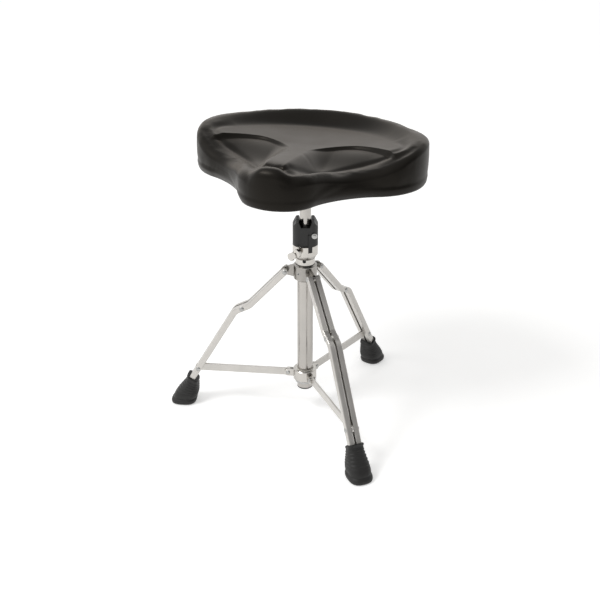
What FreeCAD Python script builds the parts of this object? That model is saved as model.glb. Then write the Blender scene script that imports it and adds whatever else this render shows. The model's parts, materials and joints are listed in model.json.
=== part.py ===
import FreeCAD, Part
import math
import os
import re
import Sketcher
from FreeCAD import Placement, Rotation, Vector

# Drum throne: a round-backed saddle seat on a telescoping post, carried by a folding
# tripod of double-strip legs.  Millimetres, +Z up, floor at z = 0, the seat faces -Y.
# The column axis stands at (column_x, column_y), so the origin is the middle of the
# footprint.  Each leg is drawn in its own upright plane, X outward from the column.

doc = FreeCAD.newDocument("drum_throne")
sheet = doc.addObject("Spreadsheet::Sheet", "sizes")

DIMENSIONS = [
    # where the column stands, and which way each thing on it points (degrees from +X)
    ("column_x", 29.1),
    ("column_y", -28.5),
    ("leg_azimuth", 72.8),
    ("leg_count", 3),
    ("wing_azimuth", 252.8),
    ("key_azimuth", 312.8),
    ("lock_azimuth", 290),
    ("receiver_screw_azimuth", 284),
    ("bracket_wing_azimuth", 125),
    # clearances
    ("running_gap", 0.05),
    ("seat_gap", 0.02),
    ("loose_gap", 0.3),
    # centre tube, stop ring and end plug
    ("tube_diameter", 32),
    ("tube_wall", 1.6),
    ("tube_bottom", 59),
    ("plug_flange", 3),
    ("plug_edge", 1),
    ("plug_depth", 16),
    ("stop_ring_diameter", 40),
    ("stop_ring_height", 7),
    ("ring_edge", 1.5),
    # leg hub
    ("hub_diameter", 46),
    ("hub_bottom", 304),
    ("hub_height", 34),
    ("hub_edge", 3),
    ("hub_pivot_rise", 15.8),
    ("hub_clearance", 1),
    ("hub_ear_thickness", 4),
    ("hub_ear_radius", 8.5),
    ("hub_pin_diameter", 5),
    ("hub_pin_wall", 1),
    # leg, in its own plane
    ("leg_pivot_radius", 39.3),
    ("leg_upper_length", 108.6),
    ("leg_upper_slope", 47.3),
    ("leg_shoulder_length", 31.8),
    ("leg_shoulder_slope", 25.6),
    ("leg_lower_slope", 59.5),
    ("leg_bend_radius", 22),
    ("leg_end_height", 17),
    ("strip_depth", 12.5),
    ("strip_width", 10.5),
    ("strip_wall", 1.6),
    ("strip_gap", 5),
    ("strip_corner", 2.4),
    ("rivet_diameter", 6),
    ("rivet_head_diameter", 10.5),
    ("rivet_head_height", 2.2),
    ("bush_diameter", 9),
    ("knee_rivet_share", 0.5),
    # boots
    ("boot_setback", 3.9),
    ("boot_length", 54),
    ("boot_width", 48),
    ("boot_corner", 15),
    ("boot_edge", 3.5),
    ("boot_skirt", 13),
    ("boot_top_height", 62),
    ("boot_top_length", 25),
    ("boot_top_width", 33),
    ("boot_top_corner", 7),
    # folding stays and their sliding collar
    ("stay_inner_radius", 35),
    ("stay_inner_height", 88.4),
    ("stay_outer_height", 86.3),
    ("stay_width", 16),
    ("stay_thickness", 4),
    ("collar_diameter", 48),
    ("collar_height", 24),
    ("collar_wall", 6.2),
    ("collar_ear_thickness", 3.6),
    ("collar_ear_radius", 7.5),
    ("collar_ear_gap", 4.4),
    ("collar_ear_root", 3),
    ("collar_rivet_head", 9.5),
    ("collar_rivet_height", 1.54),
    ("stay_side_gap", 0.1),
    # receiver on the tube top
    ("receiver_diameter", 50),
    ("receiver_neck_diameter", 38),
    ("receiver_height", 42),
    ("receiver_neck_height", 11),
    ("receiver_flare_height", 9),
    ("receiver_tube_depth", 32),
    ("receiver_edge", 2),
    ("receiver_boss_diameter", 17),
    ("receiver_boss_reach", 29),
    ("receiver_boss_root", 3),
    ("receiver_screw_rise", 9),
    ("receiver_screw_diameter", 7),
    ("receiver_screw_wall", 1.2),
    ("receiver_screw_socket", 2.5),
    ("receiver_wing_rise", 27),
    ("bushing_length", 46),
    ("bushing_flange", 1.5),
    # wing bolts
    ("wing_screw_diameter", 8),
    ("wing_hub_diameter", 14),
    ("wing_hub_length", 10),
    ("wing_screw_grip", 6),
    ("wing_clearance", 1),
    ("wing_waist", 4.2),
    ("wing_root", 4.9),
    ("wing_span", 34),
    ("wing_rise", 22),
    ("wing_corner", 4.4),
    ("wing_thickness", 5.5),
    ("wing_tilt", 38),
    # memory lock
    ("lock_width", 49),
    ("lock_depth", 44),
    ("lock_height", 48),
    ("lock_corner", 13),
    ("lock_shoulder", 10),
    ("lock_shoulder_width", 7),
    ("lock_notch_width", 25),
    ("lock_notch_depth", 10),
    ("lock_notch_slope", 4),
    ("lock_split", 1.6),
    ("lock_pin_diameter", 5),
    ("lock_screw_diameter", 6),
    ("lock_screw_offset", 17.5),
    ("lock_screw_head", 11),
    ("lock_screw_head_height", 2),
    ("lock_screw_set_back", 4),
    ("lock_screw_rise", 22),
    ("key_width", 8),
    ("key_length", 13),
    ("key_inner_radius", 18),
    ("key_root", 3),
    ("key_root_height", 24),
    # seat rod
    ("rod_diameter", 22.2),
    ("rod_length", 321.2),
    ("rod_chamfer", 1.5),
    # seat bracket
    ("bracket_plate", 112),
    ("bracket_plate_corner", 14),
    ("bracket_plate_thickness", 3),
    ("bracket_socket_diameter", 31),
    ("bracket_socket_length", 38.2),
    ("bracket_socket_wall", 2.2),
    ("bracket_wing_rise", 14),
    ("bracket_clearance", 44),
    ("bracket_boss_reach", 24),
    ("bracket_rib_count", 4),
    ("bracket_rib_thickness", 3),
    ("bracket_rib_height", 20),
    ("bracket_rib_lip", 3),
    ("bracket_rib_reach", 48),
    ("bracket_rib_root", 1),
    ("bracket_weld", 0.5),
    ("bracket_bushing_flange", 1.5),
    ("bracket_bushing_stop", 2),
    ("bolt_spacing", 80),
    ("bolt_diameter", 6),
    ("bolt_head_diameter", 12),
    ("bolt_head_height", 4),
    ("bolt_neck", 1),
    ("tee_nut_diameter", 8.4),
    ("tee_nut_flange_diameter", 18),
    ("tee_nut_flange", 1.2),
    # seat
    ("seat_rim_height", 83),
    ("seat_back_radius", 258),
    ("seat_back_reach", 191),
    ("seat_wing_radius", 109),
    ("seat_wing_centre", 116),
    ("seat_waist_radius", 190),
    ("seat_nose_radius", 86),
    ("seat_nose_reach", 198),
    ("seat_edge", 19),
    ("seat_foot_edge", 5),
    ("bowl_width", 500),
    ("bowl_length", 418),
    ("bowl_height", 120),
    ("bowl_centre", 0),
    ("bowl_depth", 25),
    ("thigh_width", 230),
    ("thigh_length", 224),
    ("thigh_height", 71),
    ("thigh_depth", 35.5),
    ("thigh_centre_x", 104),
    ("thigh_centre_y", -66),
    ("board_inset", 12),
    ("board_thickness", 12),
    ("cloth_inset", 16),
    ("cloth_thickness", 0.8),
]

for row, (name, number) in enumerate(DIMENSIONS, start=1):
    sheet.set(f"A{row}", name)
    sheet.set(f"B{row}", str(number))
    sheet.setAlias(f"B{row}", name)
doc.recompute()

ALIASES = {name for name, number in DIMENSIONS}
PARTS = []
# a cut this many times as deep as what it goes through comes out on both sides
THROUGH = " * 3"
# an arc whose radius is no more than this share of its chord is a half circle
HALF_CIRCLE = 0.501


def bound(text):
    """The expression with each size name pointing at its cell in the sheet."""
    def cell(word):
        return "sizes." + word.group() if word.group() in ALIASES else word.group()
    return re.sub(r"[a-z_]+", cell, text)


def size(text):
    """The present value of an expression in the sheet's sizes."""
    return float(sheet.evalExpression(bound(text)))


def stand(part, azimuth="0"):
    """Stands a finished piece on the column axis, turned to its azimuth, and lists it."""
    part.Placement = Placement(Vector(0, 0, 0), Rotation(Vector(0, 0, 1), size(azimuth)))
    part.setExpression("Placement.Base.x", bound("column_x"))
    part.setExpression("Placement.Base.y", bound("column_y"))
    part.setExpression("Placement.Rotation.Angle", bound(azimuth))
    PARTS.append(part)
    return part


def new_body(label):
    body = doc.addObject("PartDesign::Body", label)
    body.Label = label
    return body


def new_sketch(body, name, role="XY_Plane", lift=None):
    """A sketch on one of the body's own planes, raised along that plane's normal."""
    sketch = body.newObject("Sketcher::SketchObject", name)
    plane = next(item for item in body.Origin.OriginFeatures if item.Role == role)
    sketch.AttachmentSupport = [(plane, "")]
    sketch.MapMode = "FlatFace"
    if lift:
        sketch.AttachmentOffset = Placement(Vector(0, 0, size(lift)), Rotation())
        sketch.setExpression("AttachmentOffset.Base.z", bound(lift))
    return sketch


def face_sketch(sketch, angle):
    """Turns an upright sketch about the column axis by an expression."""
    sketch.AttachmentOffset = Placement(Vector(), Rotation(Vector(0, 1, 0), size(angle)))
    sketch.setExpression("AttachmentOffset.Rotation.Angle", bound(angle))


def tilt_sketch(sketch, spot, angle):
    """Moves a level sketch to a spot (across, up) of the leg's plane and tilts it there."""
    sketch.AttachmentOffset = Placement(
        Vector(size(spot[0]), 0, size(spot[1])), Rotation(Vector(0, 1, 0), size(angle)))
    sketch.setExpression("AttachmentOffset.Base.x", bound(spot[0]))
    sketch.setExpression("AttachmentOffset.Base.z", bound(spot[1]))
    sketch.setExpression("AttachmentOffset.Rotation.Angle", bound(angle))


def hold(sketch, kind, value_text, *where):
    """Adds a constraint whose value follows an expression."""
    index = sketch.addConstraint(Sketcher.Constraint(kind, *where, size(value_text)))
    sketch.setExpression(f"Constraints[{index}]", bound(value_text))


def place_point(sketch, shape, position, across, up):
    """Holds one point of a sketch by its two distances from the sketch's origin."""
    hold(sketch, "DistanceX", across, -1, 1, shape, position)
    hold(sketch, "DistanceY", up, -1, 1, shape, position)


def draw_circle(sketch, radius, across="0", up="0"):
    centre = Vector(size(across), size(up), 0)
    shape = sketch.addGeometry(Part.Circle(centre, Vector(0, 0, 1), size(radius)), False)
    hold(sketch, "Radius", radius, shape)
    place_point(sketch, shape, 3, across, up)


def arc_between(start, end, radius, side):
    """The short arc from start to end that bulges to the right (side 1) or left (-1)."""
    chord = end - start
    half = chord.Length / 2
    normal = Vector(chord.y, -chord.x, 0) / chord.Length
    rise = radius - math.sqrt(max(radius * radius - half * half, 0))
    middle = (start + end) / 2 + normal * rise * side
    return Part.Arc(start, middle, end)


def ends_of(sketch, shape, start):
    """The numbers of a shape's first and last points, drawing from start: the sketcher
    keeps every arc counter-clockwise, which can swap them."""
    return (1, 2) if sketch.getPoint(shape, 1).distanceToPoint(start) < 1e-6 else (2, 1)


def draw_path(sketch, corners, closed=True):
    """Lines and arcs through corners (across, up[, radius, side]); an arc starts at a
    corner that gives a radius and ends at the next one."""
    count = len(corners)
    last = count if closed else count - 1
    spots = [Vector(size(corner[0]), size(corner[1]), 0) for corner in corners]
    ends = []
    for index in range(last):
        corner = corners[index]
        start = spots[index]
        end = spots[(index + 1) % count]
        if len(corner) == 4:
            edge = arc_between(start, end, size(corner[2]), corner[3])
        else:
            edge = Part.LineSegment(start, end)
        sketch.addGeometry(edge, False)
        ends.append(ends_of(sketch, index, start))
    for index in range(last if closed else last - 1):
        after = (index + 1) % last
        sketch.addConstraint(Sketcher.Constraint("Coincident", index, ends[index][1], after, ends[after][0]))
    for index in range(last):
        place_point(sketch, index, ends[index][0], corners[index][0], corners[index][1])
        chord = (spots[(index + 1) % count] - spots[index]).Length
        if len(corners[index]) == 4 and size(corners[index][2]) > chord * HALF_CIRCLE:
            hold(sketch, "Radius", corners[index][2], index)
    if not closed:
        place_point(sketch, last - 1, ends[-1][1], corners[-1][0], corners[-1][1])


def rounded_box(half_x, half_y, corner, centre_x="0"):
    """Corners of a rectangle with round corners, for draw_path."""
    right = f"{centre_x} + {half_x}"
    left = f"{centre_x} - ({half_x})"
    return [
        (f"{right} - {corner}", f"-({half_y})", corner, 1),
        (right, f"-({half_y}) + {corner}"),
        (right, f"{half_y} - {corner}", corner, 1),
        (f"{right} - {corner}", half_y),
        (f"{left} + {corner}", half_y, corner, 1),
        (left, f"{half_y} - {corner}"),
        (left, f"-({half_y}) + {corner}", corner, 1),
        (f"{left} + {corner}", f"-({half_y})"),
    ]


def pad(body, sketch, length, both_ways=False, backwards=False):
    feature = body.newObject("PartDesign::Pad", sketch.Name + "_pad")
    feature.Profile = sketch
    feature.setExpression("Length", bound(length))
    feature.SideType = "Symmetric" if both_ways else "One side"
    feature.Reversed = backwards
    doc.recompute()
    return feature


def pocket(body, sketch, length, both_ways=False, backwards=False):
    """Cuts a pocket and makes sure that it removed material."""
    before = body.Shape.Volume
    feature = body.newObject("PartDesign::Pocket", sketch.Name + "_pocket")
    feature.Profile = sketch
    feature.setExpression("Length", bound(length))
    feature.SideType = "Symmetric" if both_ways else "One side"
    feature.Reversed = backwards
    doc.recompute()
    if body.Shape.Volume > before - 1e-3:
        raise RuntimeError(f"{sketch.Name} cuts nothing")
    return feature


def turn(body, name, corners):
    """A turned piece: the profile (radius, height) revolved about the column axis."""
    sketch = new_sketch(body, name, "XZ_Plane")
    draw_path(sketch, corners)
    feature = body.newObject("PartDesign::Revolution", name + "_turned")
    feature.Profile = sketch
    feature.ReferenceAxis = (sketch, ["V_Axis"])
    feature.Angle = 360
    doc.recompute()
    return feature


def ring(inner, outer, bottom, top):
    """Profile corners of a plain ring, for turn."""
    return [(inner, bottom), (outer, bottom), (outer, top), (inner, top)]


def fillet(body, feature, edges, radius):
    """Rounds the listed edges of the body's last feature."""
    rounding = body.newObject("PartDesign::Fillet", feature.Name + "_rounded")
    rounding.Base = (feature, edges)
    rounding.setExpression("Radius", bound(radius))
    doc.recompute()
    return rounding


def edges_where(shape, test):
    """Names of the edges of a shape that pass a test."""
    return [f"Edge{number}" for number, edge in enumerate(shape.Edges, start=1) if test(edge)]


def level_edges(shape, height):
    """Names of the edges that lie wholly at one height."""
    def level(edge):
        return abs(edge.BoundBox.ZMin - height) < 1e-3 and abs(edge.BoundBox.ZMax - height) < 1e-3
    return edges_where(shape, level)


def repeat_round(body, feature, count):
    """Repeats a feature about the column axis."""
    pattern = body.newObject("PartDesign::PolarPattern", feature.Name + "_round")
    pattern.Originals = [feature]
    axis = next(item for item in body.Origin.OriginFeatures if item.Role == "Z_Axis")
    pattern.Axis = (axis, [""])
    pattern.Angle = 360
    pattern.setExpression("Occurrences", bound(count))
    body.Tip = pattern
    doc.recompute()
    return pattern


# --- Centre tube, its end plug and the stop ring that the stay collar rests on ---
# Heights on the column go up from the leg hub, each from the piece below it.

HUB_TOP = "(hub_bottom + hub_height)"
HUB_MIDDLE = "(hub_bottom + hub_height / 2)"
RECEIVER_BOTTOM = f"({HUB_TOP} + hub_clearance)"
RECEIVER_WAIST = f"({RECEIVER_BOTTOM} + receiver_neck_height)"
RECEIVER_SHOULDER = f"({RECEIVER_WAIST} + receiver_flare_height)"
RECEIVER_TOP = f"({RECEIVER_BOTTOM} + receiver_height)"
RECEIVER_SCREW_HEIGHT = f"({RECEIVER_BOTTOM} + receiver_screw_rise)"
RECEIVER_WING_HEIGHT = f"({RECEIVER_BOTTOM} + receiver_wing_rise)"
TUBE_TOP = f"({RECEIVER_BOTTOM} + receiver_tube_depth)"
TUBE_RADIUS = "tube_diameter / 2"
TUBE_BORE = "(tube_diameter / 2 - tube_wall)"
COLLAR_BOTTOM = "(stay_inner_height - collar_height / 2)"
COLLAR_TOP = "(stay_inner_height + collar_height / 2)"
BUSHING_BORE = "(rod_diameter / 2 + running_gap)"

centre_tube = new_body("centre_tube")
turn(centre_tube, "tube_wall_section", ring(TUBE_BORE, TUBE_RADIUS, "tube_bottom", TUBE_TOP))
SCREW_HOLE = "receiver_screw_diameter / 2 + seat_gap"
PIN_HOLE = "hub_pin_diameter / 2 + seat_gap"
for cross_name, cross_height, cross_radius, cross_azimuth in (
    ("wing_hole", RECEIVER_WING_HEIGHT, "wing_screw_diameter / 2 + loose_gap", "wing_azimuth"),
    ("screw_hole", RECEIVER_SCREW_HEIGHT, SCREW_HOLE, "receiver_screw_azimuth"),
    ("hub_pin_hole", HUB_MIDDLE, PIN_HOLE, "wing_azimuth"),
):
    cross_sketch = new_sketch(centre_tube, "tube_" + cross_name, "YZ_Plane")
    face_sketch(cross_sketch, cross_azimuth)
    draw_circle(cross_sketch, cross_radius, "0", cross_height)
    pocket(centre_tube, cross_sketch, "tube_diameter", backwards=True)
stand(centre_tube)

tube_plug = new_body("tube_plug")
turn(tube_plug, "plug_section", [
    ("0", "tube_bottom - plug_flange"),
    (TUBE_RADIUS + " - plug_edge", "tube_bottom - plug_flange"),
    (TUBE_RADIUS, "tube_bottom - plug_flange + plug_edge"),
    (TUBE_RADIUS, "tube_bottom"),
    (TUBE_BORE + " - seat_gap", "tube_bottom"),
    (TUBE_BORE + " - seat_gap", "tube_bottom + plug_depth"),
    (TUBE_BORE + " - tube_wall", "tube_bottom + plug_depth"),
    (TUBE_BORE + " - tube_wall", "tube_bottom"),
    ("0", "tube_bottom"),
])
stand(tube_plug)

stop_ring = new_body("stop_ring")
turn(stop_ring, "stop_section", [
    (TUBE_RADIUS + " + seat_gap", COLLAR_BOTTOM + " - stop_ring_height"),
    ("stop_ring_diameter / 2 - ring_edge", COLLAR_BOTTOM + " - stop_ring_height"),
    ("stop_ring_diameter / 2", COLLAR_BOTTOM + " - stop_ring_height + ring_edge"),
    ("stop_ring_diameter / 2", COLLAR_BOTTOM),
    (TUBE_RADIUS + " + seat_gap", COLLAR_BOTTOM),
])
stand(stop_ring)

# --- Leg hub: a sleeve pinned to the tube, with one flat ear for each leg ---

PIVOT_R = "leg_pivot_radius"
PIVOT_Z = "(hub_bottom + hub_pivot_rise)"
RIVET_HOLE = "(rivet_diameter / 2 + running_gap)"

leg_hub = new_body("leg_hub")
turn(leg_hub, "hub_sleeve", [
    (TUBE_RADIUS + " + seat_gap", "hub_bottom"),
    ("hub_diameter / 2 - hub_edge", "hub_bottom"),
    ("hub_diameter / 2", "hub_bottom + hub_edge"),
    ("hub_diameter / 2", HUB_TOP + " - hub_edge"),
    ("hub_diameter / 2 - hub_edge", HUB_TOP),
    (TUBE_RADIUS + " + seat_gap", HUB_TOP),
])
EAR_ROOT = "(tube_diameter / 4 + hub_diameter / 4)"
ear_sketch = new_sketch(leg_hub, "hub_ear", "XZ_Plane")
draw_path(ear_sketch, [
    (EAR_ROOT, "hub_bottom + hub_edge"),
    (PIVOT_R, PIVOT_Z + " - hub_ear_radius", "hub_ear_radius", 1),
    (PIVOT_R, PIVOT_Z + " + hub_ear_radius"),
    (EAR_ROOT, HUB_TOP + " - hub_edge"),
])
ear_pad = pad(leg_hub, ear_sketch, "hub_ear_thickness", both_ways=True)
repeat_round(leg_hub, ear_pad, "leg_count")
for leg in range(int(size("leg_count"))):
    ear_hole = new_sketch(leg_hub, f"hub_ear_hole_{leg + 1}", "XZ_Plane")
    face_sketch(ear_hole, f"360 / leg_count * {leg}")
    draw_circle(ear_hole, RIVET_HOLE, PIVOT_R, PIVOT_Z)
    pocket(leg_hub, ear_hole, "hub_ear_thickness" + THROUGH, both_ways=True)
pin_hole = new_sketch(leg_hub, "hub_pin_hole", "YZ_Plane")
face_sketch(pin_hole, "wing_azimuth - leg_azimuth")
draw_circle(pin_hole, PIN_HOLE, "0", HUB_MIDDLE)
pocket(leg_hub, pin_hole, "hub_diameter", backwards=True)
stand(leg_hub, "leg_azimuth")

hub_pin = new_body("hub_pin")
hub_pin_sketch = new_sketch(hub_pin, "hub_pin_end", "YZ_Plane", lift=TUBE_BORE)
draw_circle(hub_pin_sketch, "hub_pin_diameter / 2", "0", HUB_MIDDLE)
draw_circle(hub_pin_sketch, "hub_pin_diameter / 2 - hub_pin_wall", "0", HUB_MIDDLE)
pad(hub_pin, hub_pin_sketch, "hub_diameter / 2 - " + TUBE_BORE)
stand(hub_pin, "wing_azimuth")

# --- Legs: two channel strips, rivets, spacer bushes and a rubber boot each ---

UPPER = ("cos(leg_upper_slope)", "-sin(leg_upper_slope)")
SHOULDER = ("cos(leg_shoulder_slope)", "-sin(leg_shoulder_slope)")
LOWER = ("cos(leg_lower_slope)", "-sin(leg_lower_slope)")


def along(point, direction, distance):
    """The point that lies a distance along a direction, as a pair of expressions."""
    return tuple(f"({start} + {step} * ({distance}))" for start, step in zip(point, direction))


PIVOT = (PIVOT_R, PIVOT_Z)
BEND = along(PIVOT, UPPER, "leg_upper_length")
KNEE = along(BEND, SHOULDER, "leg_shoulder_length")
FOOT = along(KNEE, LOWER, f"({KNEE[1]} - leg_end_height) / sin(leg_lower_slope)")
STAY_OUTER = along(KNEE, LOWER, f"({KNEE[1]} - stay_outer_height) / sin(leg_lower_slope)")
KNEE_RIVET = along(BEND, SHOULDER, "leg_shoulder_length * knee_rivet_share")
BOOT_CENTRE = f"({FOOT[0]} - boot_setback)"
BOOT_TOP = along(KNEE, LOWER, f"({KNEE[1]} - boot_top_height) / sin(leg_lower_slope)")
BEND_TRIM = "leg_bend_radius * tan((leg_upper_slope - leg_shoulder_slope) / 2)"
KNEE_TRIM = "leg_bend_radius * tan((leg_lower_slope - leg_shoulder_slope) / 2)"
LEG_TOP = along(PIVOT, UPPER, "-strip_depth / 2")
STRIP_EDGE = "(strip_gap / 2 + strip_width)"


def leg_strip(label, azimuth, side):
    """One strip of a leg: a channel swept along the bent leg line, open to its twin."""
    body = new_body(label)
    spine = new_sketch(body, label + "_line", "XZ_Plane")
    draw_path(spine, [
        LEG_TOP,
        along(BEND, UPPER, "-" + BEND_TRIM) + ("leg_bend_radius", 1),
        along(BEND, SHOULDER, BEND_TRIM),
        along(KNEE, SHOULDER, "-" + KNEE_TRIM) + ("leg_bend_radius", -1),
        along(KNEE, LOWER, KNEE_TRIM),
        FOOT,
    ], closed=False)
    section = new_sketch(body, label + "_section")
    tilt_sketch(section, LEG_TOP, "90 + leg_upper_slope")
    half = "strip_depth / 2"
    sign = "" if side > 0 else "-"
    inner = f"{sign}strip_gap / 2"
    outer = f"{sign}{STRIP_EDGE}"
    web = f"{sign}({STRIP_EDGE} - strip_wall)"
    outer_turn = f"{sign}({STRIP_EDGE} - strip_corner)"
    draw_path(section, [
        (half, inner),
        (half, outer_turn, "strip_corner", side),
        (f"{half} - strip_corner", outer),
        (f"strip_corner - {half}", outer, "strip_corner", side),
        (f"-{half}", outer_turn),
        (f"-{half}", inner),
        (f"strip_wall - {half}", inner),
        (f"strip_wall - {half}", web),
        (f"{half} - strip_wall", web),
        (f"{half} - strip_wall", inner),
    ])
    sweep = body.newObject("PartDesign::AdditivePipe", label + "_sweep")
    sweep.Profile = section
    doc.recompute()
    sweep.Spine = (spine, [f"Edge{number + 1}" for number in range(5)])
    doc.recompute()
    rounding = new_sketch(body, label + "_end", "XZ_Plane")
    across = ("sin(leg_upper_slope)", "cos(leg_upper_slope)")
    rim_high = along(PIVOT, across, half)
    rim_low = along(PIVOT, across, "-" + half)
    far_high = along(along(PIVOT, across, "strip_depth"), UPPER, "-strip_depth")
    far_low = along(along(PIVOT, across, "-strip_depth"), UPPER, "-strip_depth")
    draw_path(rounding, [
        rim_low + (half, -1),
        rim_high,
        along(PIVOT, across, "strip_depth"),
        far_high,
        far_low,
        along(PIVOT, across, "-strip_depth"),
    ])
    pocket(body, rounding, STRIP_EDGE + THROUGH, both_ways=True)
    holes = new_sketch(body, label + "_holes", "XZ_Plane")
    for spot in (PIVOT, KNEE_RIVET, STAY_OUTER):
        draw_circle(holes, "rivet_diameter / 2 + seat_gap", spot[0], spot[1])
    pocket(body, holes, STRIP_EDGE + THROUGH, both_ways=True)
    return stand(body, azimuth)


def rivet_solid(spot, starts, stops):
    """A rivet across the strips: shanks from starts to stops, with a domed head at
    each end that lies on a strip's outer face."""
    x, z = size(spot[0]), size(spot[1])
    reach = size(STRIP_EDGE)
    head_height = size("rivet_head_height")
    head_radius = size("rivet_head_diameter / 2")
    ball_radius = (head_radius ** 2 + head_height ** 2) / (2 * head_height)
    start, stop = size(starts), size(stops)
    solid = Part.makeCylinder(size("rivet_diameter / 2"), stop - start, Vector(x, start, z), Vector(0, 1, 0))
    for sign, end in ((-1, start), (1, stop)):
        if abs(end) < reach:
            continue
        ball = Part.makeSphere(ball_radius, Vector(x, sign * (reach + head_height - ball_radius), z))
        slab_start = Vector(x, sign * reach, z)
        slab = Part.makeCylinder(head_radius, head_height * 2, slab_start, Vector(0, sign, 0))
        solid = solid.fuse(ball.common(slab))
    return solid


def through_rivet(spot):
    return rivet_solid(spot, "-" + STRIP_EDGE, STRIP_EDGE)


def bush_solid(spot, sign, inner_face):
    """A spacer bush inside one strip, from its web to inner_face."""
    x, z = size(spot[0]), size(spot[1])
    start = size(inner_face)
    length = size(f"{STRIP_EDGE} - strip_wall") - start
    base = Vector(x, sign * start, z)
    outer = Part.makeCylinder(size("bush_diameter / 2"), length, base, Vector(0, sign, 0))
    inner = Part.makeCylinder(size("rivet_diameter / 2 + seat_gap"), length, base, Vector(0, sign, 0))
    return outer.cut(inner)


def shaped(label, solids, azimuth):
    """A group of like solids as one piece of the document."""
    feature = doc.addObject("Part::Feature", label)
    feature.Label = label
    feature.Shape = solids[0] if len(solids) == 1 else Part.makeCompound(solids)
    return stand(feature, azimuth)


def boot(label, azimuth):
    """A rubber boot: a flared skirt that lofts up to a collar square to the leg."""
    body = new_body(label)
    sole = new_sketch(body, label + "_sole")
    draw_path(sole, rounded_box("boot_length / 2", "boot_width / 2", "boot_corner", BOOT_CENTRE))
    skirt = pad(body, sole, "boot_skirt")
    hem = new_sketch(body, label + "_hem", lift="boot_skirt")
    draw_path(hem, rounded_box("boot_length / 2", "boot_width / 2", "boot_corner", BOOT_CENTRE))
    mouth = new_sketch(body, label + "_mouth")
    socket = new_sketch(body, label + "_socket")
    for tilted in (mouth, socket):
        tilt_sketch(tilted, BOOT_TOP, "leg_lower_slope - 90")
    draw_path(mouth, rounded_box("boot_top_length / 2", "boot_top_width / 2", "boot_top_corner"))
    loft = body.newObject("PartDesign::AdditiveLoft", label + "_loft")
    loft.Profile = hem
    loft.Sections = [mouth]
    doc.recompute()
    fillet(body, loft, level_edges(loft.Shape, 0), "boot_edge")
    depth = f"({BOOT_TOP[1]} - leg_end_height) / sin(leg_lower_slope) + seat_gap"
    draw_path(socket, [
        ("-strip_depth / 2 - seat_gap", f"-{STRIP_EDGE} - seat_gap"),
        ("strip_depth / 2 + seat_gap", f"-{STRIP_EDGE} - seat_gap"),
        ("strip_depth / 2 + seat_gap", f"{STRIP_EDGE} + seat_gap"),
        ("-strip_depth / 2 - seat_gap", f"{STRIP_EDGE} + seat_gap"),
    ])
    pocket(body, socket, depth)
    return stand(body, azimuth)


STAY_GAP = "(strip_gap / 2 - stay_side_gap)"
for leg in range(1, int(size("leg_count")) + 1):
    turned = f"leg_azimuth + 360 / leg_count * {leg - 1}"
    leg_strip(f"leg_{leg}_strip_left", turned, 1)
    leg_strip(f"leg_{leg}_strip_right", turned, -1)
    shaped(f"leg_{leg}_pivot_rivet", [through_rivet(PIVOT)], turned)
    shaped(f"leg_{leg}_knee_rivet", [through_rivet(KNEE_RIVET)], turned)
    shaped(f"leg_{leg}_stay_rivets", [
        rivet_solid(STAY_OUTER, STAY_GAP, STRIP_EDGE),
        rivet_solid(STAY_OUTER, "-" + STRIP_EDGE, "-" + STAY_GAP),
    ], turned)
    ear_face = "hub_ear_thickness / 2 + running_gap"
    bushes = [bush_solid(PIVOT, sign, ear_face) for sign in (1, -1)]
    bushes += [bush_solid(STAY_OUTER, sign, STAY_GAP) for sign in (1, -1)]
    bushes += [bush_solid(KNEE_RIVET, sign, "seat_gap") for sign in (1, -1)]
    shaped(f"leg_{leg}_bushes", bushes, turned)
    boot(f"boot_{leg}", turned)

# --- Stays: flat bars on edge between the sliding collar and the legs ---

STAY_INNER = ("stay_inner_radius", "stay_inner_height")


def stay(label, azimuth):
    """A flat bar with round ends, drilled at both pivots."""
    body = new_body(label)
    start = Vector(size(STAY_INNER[0]), size(STAY_INNER[1]), 0)
    end = Vector(size(STAY_OUTER[0]), size(STAY_OUTER[1]), 0)
    radius = size("stay_width / 2")
    way = (end - start).normalize()
    side = Vector(-way.y, way.x, 0) * radius
    bar = new_sketch(body, label + "_side", "XZ_Plane")
    bar.addGeometry(Part.LineSegment(start - side, end - side), False)
    bar.addGeometry(Part.Arc(end - side, end + way * radius, end + side), False)
    bar.addGeometry(Part.LineSegment(end + side, start + side), False)
    bar.addGeometry(Part.Arc(start + side, start - way * radius, start - side), False)
    for index in range(4):
        bar.addConstraint(Sketcher.Constraint("Tangent", index, 2, (index + 1) % 4, 1))
    hold(bar, "Radius", "stay_width / 2", 1)
    bar.addConstraint(Sketcher.Constraint("Equal", 1, 3))
    place_point(bar, 1, 3, STAY_OUTER[0], STAY_OUTER[1])
    place_point(bar, 3, 3, STAY_INNER[0], STAY_INNER[1])
    pad(body, bar, "stay_thickness", both_ways=True)
    holes = new_sketch(body, label + "_holes", "XZ_Plane")
    draw_circle(holes, RIVET_HOLE, STAY_INNER[0], STAY_INNER[1])
    draw_circle(holes, RIVET_HOLE, STAY_OUTER[0], STAY_OUTER[1])
    pocket(body, holes, "stay_thickness" + THROUGH, both_ways=True)
    return stand(body, azimuth)


for leg in range(1, int(size("leg_count")) + 1):
    stay(f"stay_{leg}", f"leg_azimuth + 360 / leg_count * {leg - 1}")

# --- Stay collar: a ring with a pair of ears for each stay, lined to slide on the tube ---

EAR_FACE = "(collar_ear_gap / 2 + collar_ear_thickness)"

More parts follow.
